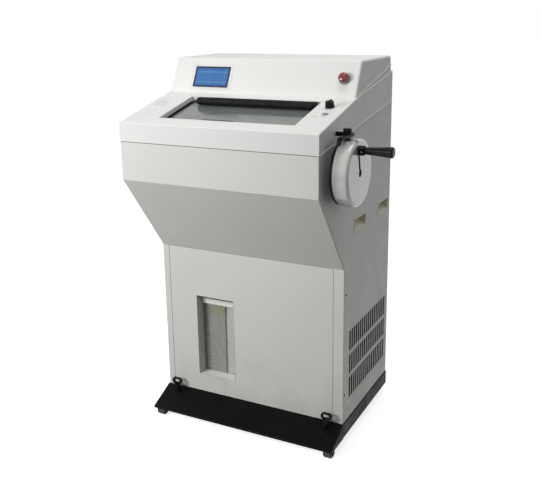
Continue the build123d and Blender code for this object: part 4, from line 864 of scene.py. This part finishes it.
def tank_bay_edge(white):
    """Rolled edge round the mouth of the tank's bay."""
    width, height, roll = bay_right - bay_left, bay_high - bay_low, 0.0030
    outer = rounded_outline(width + roll, height + roll, roll)
    made = ring_plate(outer, rounded_outline(width, height, 0.0012), 0.0009)
    centre = place((bay_left + bay_right) / 2, 0, (bay_low + bay_high) / 2)
    where = Matrix.Translation(centre) @ Matrix.Rotation(pi / 2, 4, "X")
    new_piece("tank_bay_edge", made, white, "root", where)


def tank_lip(white):
    """Moulded pull lip along the front of the tank's cap."""
    low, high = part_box("tank_cap")
    side, reach, drop, sunk = 0.002, 0.012, 0.007, 0.0002
    made = bmesh.new()
    add_box(made, (low.x + side, low.y - reach, low.z - drop), (high.x - side, low.y + sunk, high.z - 0.001))
    soften(made, 0.0022, 3)
    new_piece("tank_lip", made, white, "waste_tank")


def tank_sill(white):
    """Thin pale runner on the floor of the tank's bay, low enough for the tank to slide over."""
    front, back = body_front + 0.004, tank_low.y - 0.003
    bottom, top = tank_low.z - 0.00028, tank_low.z - 0.00008
    made = bmesh.new()
    add_box(made, (tank_low.x, front, bottom), (tank_high.x, back, top))
    new_piece("tank_sill", made, white, "root")


def lintel_painted_shadow(black):
    """Black rubber strip under the lintel of the tank's bay, clear of the tank's cap, standing in as painted
    shadow under the lintel.
    """
    low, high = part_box("tank_cap")
    front, back = body_front + 0.0028, body_front + 0.0065
    bottom, top = bay_high - 0.0048, bay_high + 0.0002
    made = bmesh.new()
    add_box(made, (low.x, front, bottom), (high.x, back, top))
    soften(made, 0.0008)
    new_piece("lintel_painted_shadow", made, black, "root")


def gasket_bead(black):
    """Rubber bead pressed into the gasket's groove, turned round the corner towards the bulb seal."""
    left, front, back, end, height = -0.1975, 0.059, 0.2215, -0.150, -0.0108
    bend, turns = 0.016, 8
    route = [(left, front), (left, back - bend)]
    for step in range(1, turns):
        angle = pi - (pi / 2) * step / turns
        route.append((left + bend + bend * cos(angle), back - bend + bend * sin(angle)))
    route += [(left + bend, back), (end, back)]
    points = [deck @ Vector((x, y, height)) for x, y in route]
    bead = tube("gasket_bead", points, 0.0024, black, capped=True)


def grille_shade_filter(cloth):
    """Dark dust filter just behind the slotted grille, a dark sheet standing in for the shade inside the
    slots.
    """
    low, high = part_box("side_grille")
    gap, thickness, margin = 0.0006, 0.002, 0.004
    x = low.x - gap
    made = bmesh.new()
    add_box(made, (x - thickness, low.y + margin, low.z + margin), (x, high.y - margin, high.z - margin))
    new_piece("dust_filter_painted_shade", made, cloth, "root")


def grip_ramps(beige):
    """Sloped lower insert of each flush grip, which leaves the fingers room above."""
    reach, height, half_length = 0.0205, 0.019, 0.0425
    outline = ((-0.0006, 0.0), (-reach, 0.0), (-reach, height), (-0.86 * reach, 0.98 * height))
    for side, sign in SIDES:
        for number, y in enumerate(grip_places, 1):
            made = bmesh.new()
            near, far = ([(sign * x, end, z) for x, z in outline] for end in (-half_length, half_length))
            add_prism(made, near, far)
            soften(made, 0.0010)
            centre = place(0.0, y, grip_floor)
            centre.x = right_face if sign > 0 else left_face
            where = Matrix.Translation(centre)
            new_piece(f"grip_ramp_{side}_{number}", made, beige, "root", where)


def seam_trim(name, material, start, end, sign):
    """Thin rounded trim along a seam of the cabinet's side, whose top catches the light."""
    along = (end - start).normalized()
    outward = Vector((sign, 0.0, 0.0))
    upward = outward.cross(along) if sign > 0 else along.cross(outward)
    section = ((0.0, -0.0012), (0.0009, -0.0009), (0.0013, 0.0), (0.0009, 0.0009), (0.0, 0.0016))
    made = bmesh.new()
    first, last = ([point + out * outward + up * upward for out, up in section] for point in (start, end))
    add_prism(made, first, last)
    new_piece(name, made, material, "root")


def seams(cover, black):
    """Trims where the deck cover and the console cover end, and a black gasket strip along the front joint,
    dark to stand in as painted shadow of the gap.
    """
    low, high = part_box("deck_cover")
    console_low, console_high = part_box("console_cover")
    short, lift = 0.003, 0.0008
    for side, sign in SIDES:
        x = high.x if sign > 0 else low.x
        start = Vector((x, low.y + short, joint_front_height))
        end = Vector((x, high.y - short, joint_back_height))
        seam_trim(f"cover_seam_{side}", cover, start, end, sign)
        x = console_high.x if sign > 0 else console_low.x
        ends = []
        for y in (body_front + console_setback + 0.004, console_high.y - short):
            ends.append(Vector((x, y, deck_front_height + (y - deck_front) * tan(deck_angle) + lift)))
        seam_trim(f"console_seam_{side}", cover, *ends, sign)
    # painted shadow: a black strip in the front joint stands in for the shade of the gap
    joint_low, joint_high = joint_front_height - 0.0020, joint_front_height - 0.0006
    made = bmesh.new()
    add_box(made, (low.x + 0.002, low.y - 0.0002, joint_low), (high.x - 0.002, low.y + 0.0010, joint_high))
    new_piece("front_joint_painted_shadow", made, black, "root")


def evaporator_tube(copper):
    """Refrigerant tube that winds up the evaporator."""
    base = place(-0.203, 0.195, 0.730)
    near, far = base.x + 0.008, base.x + 0.125
    rows, pitch, turns, flatness = 5, 0.035, 8, 0.55
    reach = pitch / 2
    points = []
    for row in range(rows):
        z = base.z + 0.015 + pitch * row
        x0, x1, outward = (near, far, 1) if row % 2 == 0 else (far, near, -1)
        points += [(x0, base.y, z), (x1, base.y, z)]
        if row == rows - 1:
            break
        for step in range(1, turns):
            angle = -pi / 2 + pi * step / turns
            bulge = outward * reach * cos(angle) * flatness
            points.append((x1 + bulge, base.y, z + reach + reach * sin(angle)))
    tube("evaporator_tube", points, 0.0032, copper, capped=False)


# Which finish each CAD node gets
NODE_FINISH = {
    "black_coat": ["base_frame", "base_skirt", "base_fittings", "left_jack", "right_jack", "condenser_pack"],
    "body": [
        "left_side_panel", "right_side_panel", "rear_panel", "belly_fascia", "front_posts",
        "front_panel",
    ],
    "grille": ["side_grille"],
    "cover": ["deck_cover", "console_cover", "keypad"],
    "tread": ["left_front_roller", "right_front_roller", "left_castor_wheel", "right_castor_wheel"],
    "zinc": ["left_castor_fork", "right_castor_fork"],
    "white": ["tank_cap"],
    "recess": ["tank_recess"],
    "tank": ["waste_tank"],
    "grip_cup": ["flush_grips"],
    "rubber": ["window_seals"],
    "glass": ["glass_pane"],
    "black": ["window_pull", "grip_carrier", "lock_lever", "base_lever", "blade_lever", "mains_inlet"],
    "gloss_black": ["crank_grip", "selector_knob"],
    "navy": ["display_bezel"],
    "display": ["display_screen"],
    "grey": ["control_blocks", "lamp_button"],
    "red": ["stop_button"],
    "wheel": ["handwheel"],
    "shaft": ["wheel_shaft"],
    "ground": ["main_shaft", "feed_cylinder", "specimen_head", "knife_stage"],
    "blade": ["blade"],
    "housing": ["shaft_bearings", "microtome_frame"],
    "belt": ["drive_belt"],
    "sheet": ["chamber_liner"],
    "foam": ["insulation"],
    "frost": ["chamber_fittings", "freezing_shelf"],
    "cast_aluminium": ["carriage"],
    "clear": ["anti_roll_plate"],
    "enamel": ["compressor"],
    "fan": ["condenser_fan"],
    "copper": ["pipework"],
}


def finishes():
    """Every finish by a short name."""
    drum_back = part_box("handwheel")[0].x
    return {
        "body": light_paint("pale_powder_coat", linear(216, 217, 212), 0.44, 0.00006),
        "grille": grille_paint(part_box("side_grille")[1].x),
        "cover": light_paint("smooth_cover", linear(226, 227, 224), 0.44, 0.00003),
        "black_coat": black_coat("black_base_coat", 0.6),
        "enamel": black_coat("black_can_enamel", 0.2),
        "tread": tread(),
        "zinc": metal("zinc_plate", linear(170, 168, 158), 0.38, 90.0),
        "white": white_plastic(),
        # painted shade: the bay's liner is greyer than the white plastic, so its jamb reads shaded
        "recess": plain_plastic("grey_liner_painted_shade", linear(196, 196, 192), 0.5),
        "tank": tank_plastic(),
        "grip_cup": plain_plastic("beige_cup", linear(214, 210, 190), 0.45),
        "rubber": rubber(),
        "glass": window_glass(),
        "black": black_plastic("black_plastic", 0.36, 0.07),
        "gloss_black": black_plastic("glossy_black_grip", 0.18, 0.14),
        "navy": display_frame(),
        "display": display_glow(),
        "grey": plain_plastic("grey_plastic", linear(150, 151, 150)),
        "red": red_head(),
        "wheel": wheel_paint(),
        "shaft": shaft_metal(drum_back - 0.0160, drum_back - 0.0063),
        "ground": metal("ground_steel", linear(186, 186, 184), 0.26, 60.0, 0.2, (1.0, 14.0, 14.0)),
        "blade": metal("blade_steel", linear(206, 208, 210), 0.14, 70.0, 0.1, (14.0, 1.0, 1.0)),
        "housing": metal("bearing_housing", linear(128, 130, 132), 0.46, 240.0),
        "belt": belt_rubber(),
        "sheet": metal("brushed_sheet", linear(188, 190, 190), 0.30, 40.0, 0.2, (1.0, 1.0, 18.0)),
        "foam": foam_board(),
        "frost": frosted_metal(),
        "cast_aluminium": metal("cast_aluminium", linear(184, 185, 186), 0.42, 260.0),
        "clear": clear_plate(),
        "fan": plain_plastic("dark_fan", linear(34, 34, 36), 0.5),
        "filter": filter_cloth(),
        "copper": metal("copper_pipe", linear(196, 128, 92), 0.30, 90.0, 0.5),
        "steel": metal("screw_steel", linear(184, 184, 182), 0.30, 300.0),
        "dark_ink": print_ink("dark_ink", linear(96, 98, 100)),
        "pale_ink": print_ink("pale_ink", linear(190, 192, 184)),
        "white_ink": print_ink("white_ink", linear(228, 228, 226)),
    }


def dress_nodes(finish):
    """Gives every CAD node its finish."""
    for key, names in NODE_FINISH.items():
        for name in names:
            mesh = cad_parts[name].data
            mesh.materials.clear()
            mesh.materials.append(finish[key])


# Stage, light and camera

def ray_share(tree):
    """1 for rays from the camera, off gloss and through glass, and 0 for diffuse light."""
    path = tree.nodes.new("ShaderNodeLightPath")
    total = path.outputs["Is Camera Ray"]
    for name in ("Is Glossy Ray", "Is Transmission Ray"):
        both = tree.nodes.new("ShaderNodeMath")
        both.operation = "MAXIMUM"
        tree.links.new(total, both.inputs[0])
        tree.links.new(path.outputs[name], both.inputs[1])
        total = both.outputs["Value"]
    return total


def white_world(strength):
    """A white background whose diffuse light is weaker than it looks."""
    world = bpy.data.worlds.new("white_world")
    bpy.context.scene.world = world
    world.use_nodes = True
    tree = world.node_tree
    background = tree.nodes["Background"]
    background.inputs["Color"].default_value = (1.0, 1.0, 1.0, 1.0)
    level = tree.nodes.new("ShaderNodeMapRange")
    level.inputs["To Min"].default_value = strength
    level.inputs["To Max"].default_value = 1.0
    tree.links.new(ray_share(tree), level.inputs["Value"])
    tree.links.new(level.outputs["Result"], background.inputs["Strength"])


def pale_floor(seen, bounced, lift):
    """A wide pale floor that keeps the shadow and bounces little light upwards."""
    made = bmesh.new()
    bmesh.ops.create_grid(made, x_segments=8, y_segments=8, size=40.0)
    mesh = bpy.data.meshes.new("floor")
    made.to_mesh(mesh)
    made.free()
    floor = add_object("floor", mesh)
    material = bpy.data.materials.new("pale_floor")
    material.use_nodes = True
    tree = material.node_tree
    shader = tree.nodes["Principled BSDF"]
    shader.inputs["Roughness"].default_value = 0.9
    shader.inputs["Specular IOR Level"].default_value = 0.0
    share = ray_share(tree)
    colour = tree.nodes.new("ShaderNodeMix")
    colour.data_type = "RGBA"
    colour.inputs[6].default_value = (bounced, bounced, bounced, 1.0)
    colour.inputs[7].default_value = (seen, seen, seen, 1.0)
    tree.links.new(share, colour.inputs["Factor"])
    tree.links.new(colour.outputs[2], shader.inputs["Base Color"])
    shader.inputs["Emission Color"].default_value = (1.0, 1.0, 1.0, 1.0)
    glow = tree.nodes.new("ShaderNodeMath")
    glow.operation = "MULTIPLY"
    glow.inputs[1].default_value = lift
    tree.links.new(share, glow.inputs[0])
    tree.links.new(glow.outputs["Value"], shader.inputs["Emission Strength"])
    mesh.materials.append(material)


def lamp(name, where, target, power, size):
    """A square soft lamp that looks at a target."""
    data = bpy.data.lights.new(name, "AREA")
    data.energy = power
    data.shape = "SQUARE"
    data.size = size
    made = add_object(name, data)
    made.location = where
    made.rotation_mode = "QUATERNION"
    made.rotation_quaternion = (Vector(target) - Vector(where)).to_track_quat("-Z", "Y")


def photo_camera():
    """The photograph's viewpoint, from a fit of the cabinet's corners."""
    eye = place(1.0562669, -1.9058948, 1.2729579)
    yaw = radians(27.216)
    pitch = radians(14.287)
    roll = radians(-0.860)
    focal_pixels = 759.86
    frame_width = 540.0
    shift_pixels = 44.0
    ahead = Vector((-sin(yaw) * cos(pitch), cos(yaw) * cos(pitch), -sin(pitch)))
    right = Vector((cos(yaw), sin(yaw), 0.0))
    up = right.cross(ahead)
    side = cos(roll) * right + sin(roll) * up
    top = -sin(roll) * right + cos(roll) * up
    data = bpy.data.cameras.new("camera")
    data.sensor_width = 36.0
    data.lens = focal_pixels / frame_width * data.sensor_width
    data.shift_y = -shift_pixels / frame_width
    camera = add_object("camera", data)
    camera.matrix_world = Matrix.Translation(eye) @ Matrix((side, top, -ahead)).transposed().to_4x4()
    bpy.context.scene.camera = camera


finish = finishes()
dress_nodes(finish)
cabinet_screws(finish["steel"], finish["black"])
rear_louvres(finish["body"])
display_overlay(finish["cover"])
printed_marks(finish["dark_ink"])
knob_line(finish["white_ink"])
level_marks(finish["pale_ink"])
tank_ribs(finish["tank"])
lever_flutes(finish["black"])
grip_screw(finish["housing"])
base_details(finish["steel"], finish["black_coat"])
tank_bay_edge(finish["body"])
tank_lip(finish["white"])
tank_sill(finish["white"])
lintel_painted_shadow(finish["rubber"])
gasket_bead(finish["rubber"])
grille_shade_filter(finish["filter"])
grip_ramps(finish["grip_cup"])
seams(finish["cover"], finish["rubber"])
evaporator_tube(finish["copper"])

white_world(strength=0.34)
pale_floor(seen=0.80, bounced=0.11, lift=0.735)
lamp("key_softbox", (-1.25, -1.95, 1.42), (-0.05, 0.0, 0.8), power=39.0, size=0.9)
lamp("overhead_softbox", (0.28, 0.02, 2.5), (0.0, 0.0, 1.0), power=10.5, size=0.9)
photo_camera()
bpy.context.scene.view_settings.view_transform = "Standard"
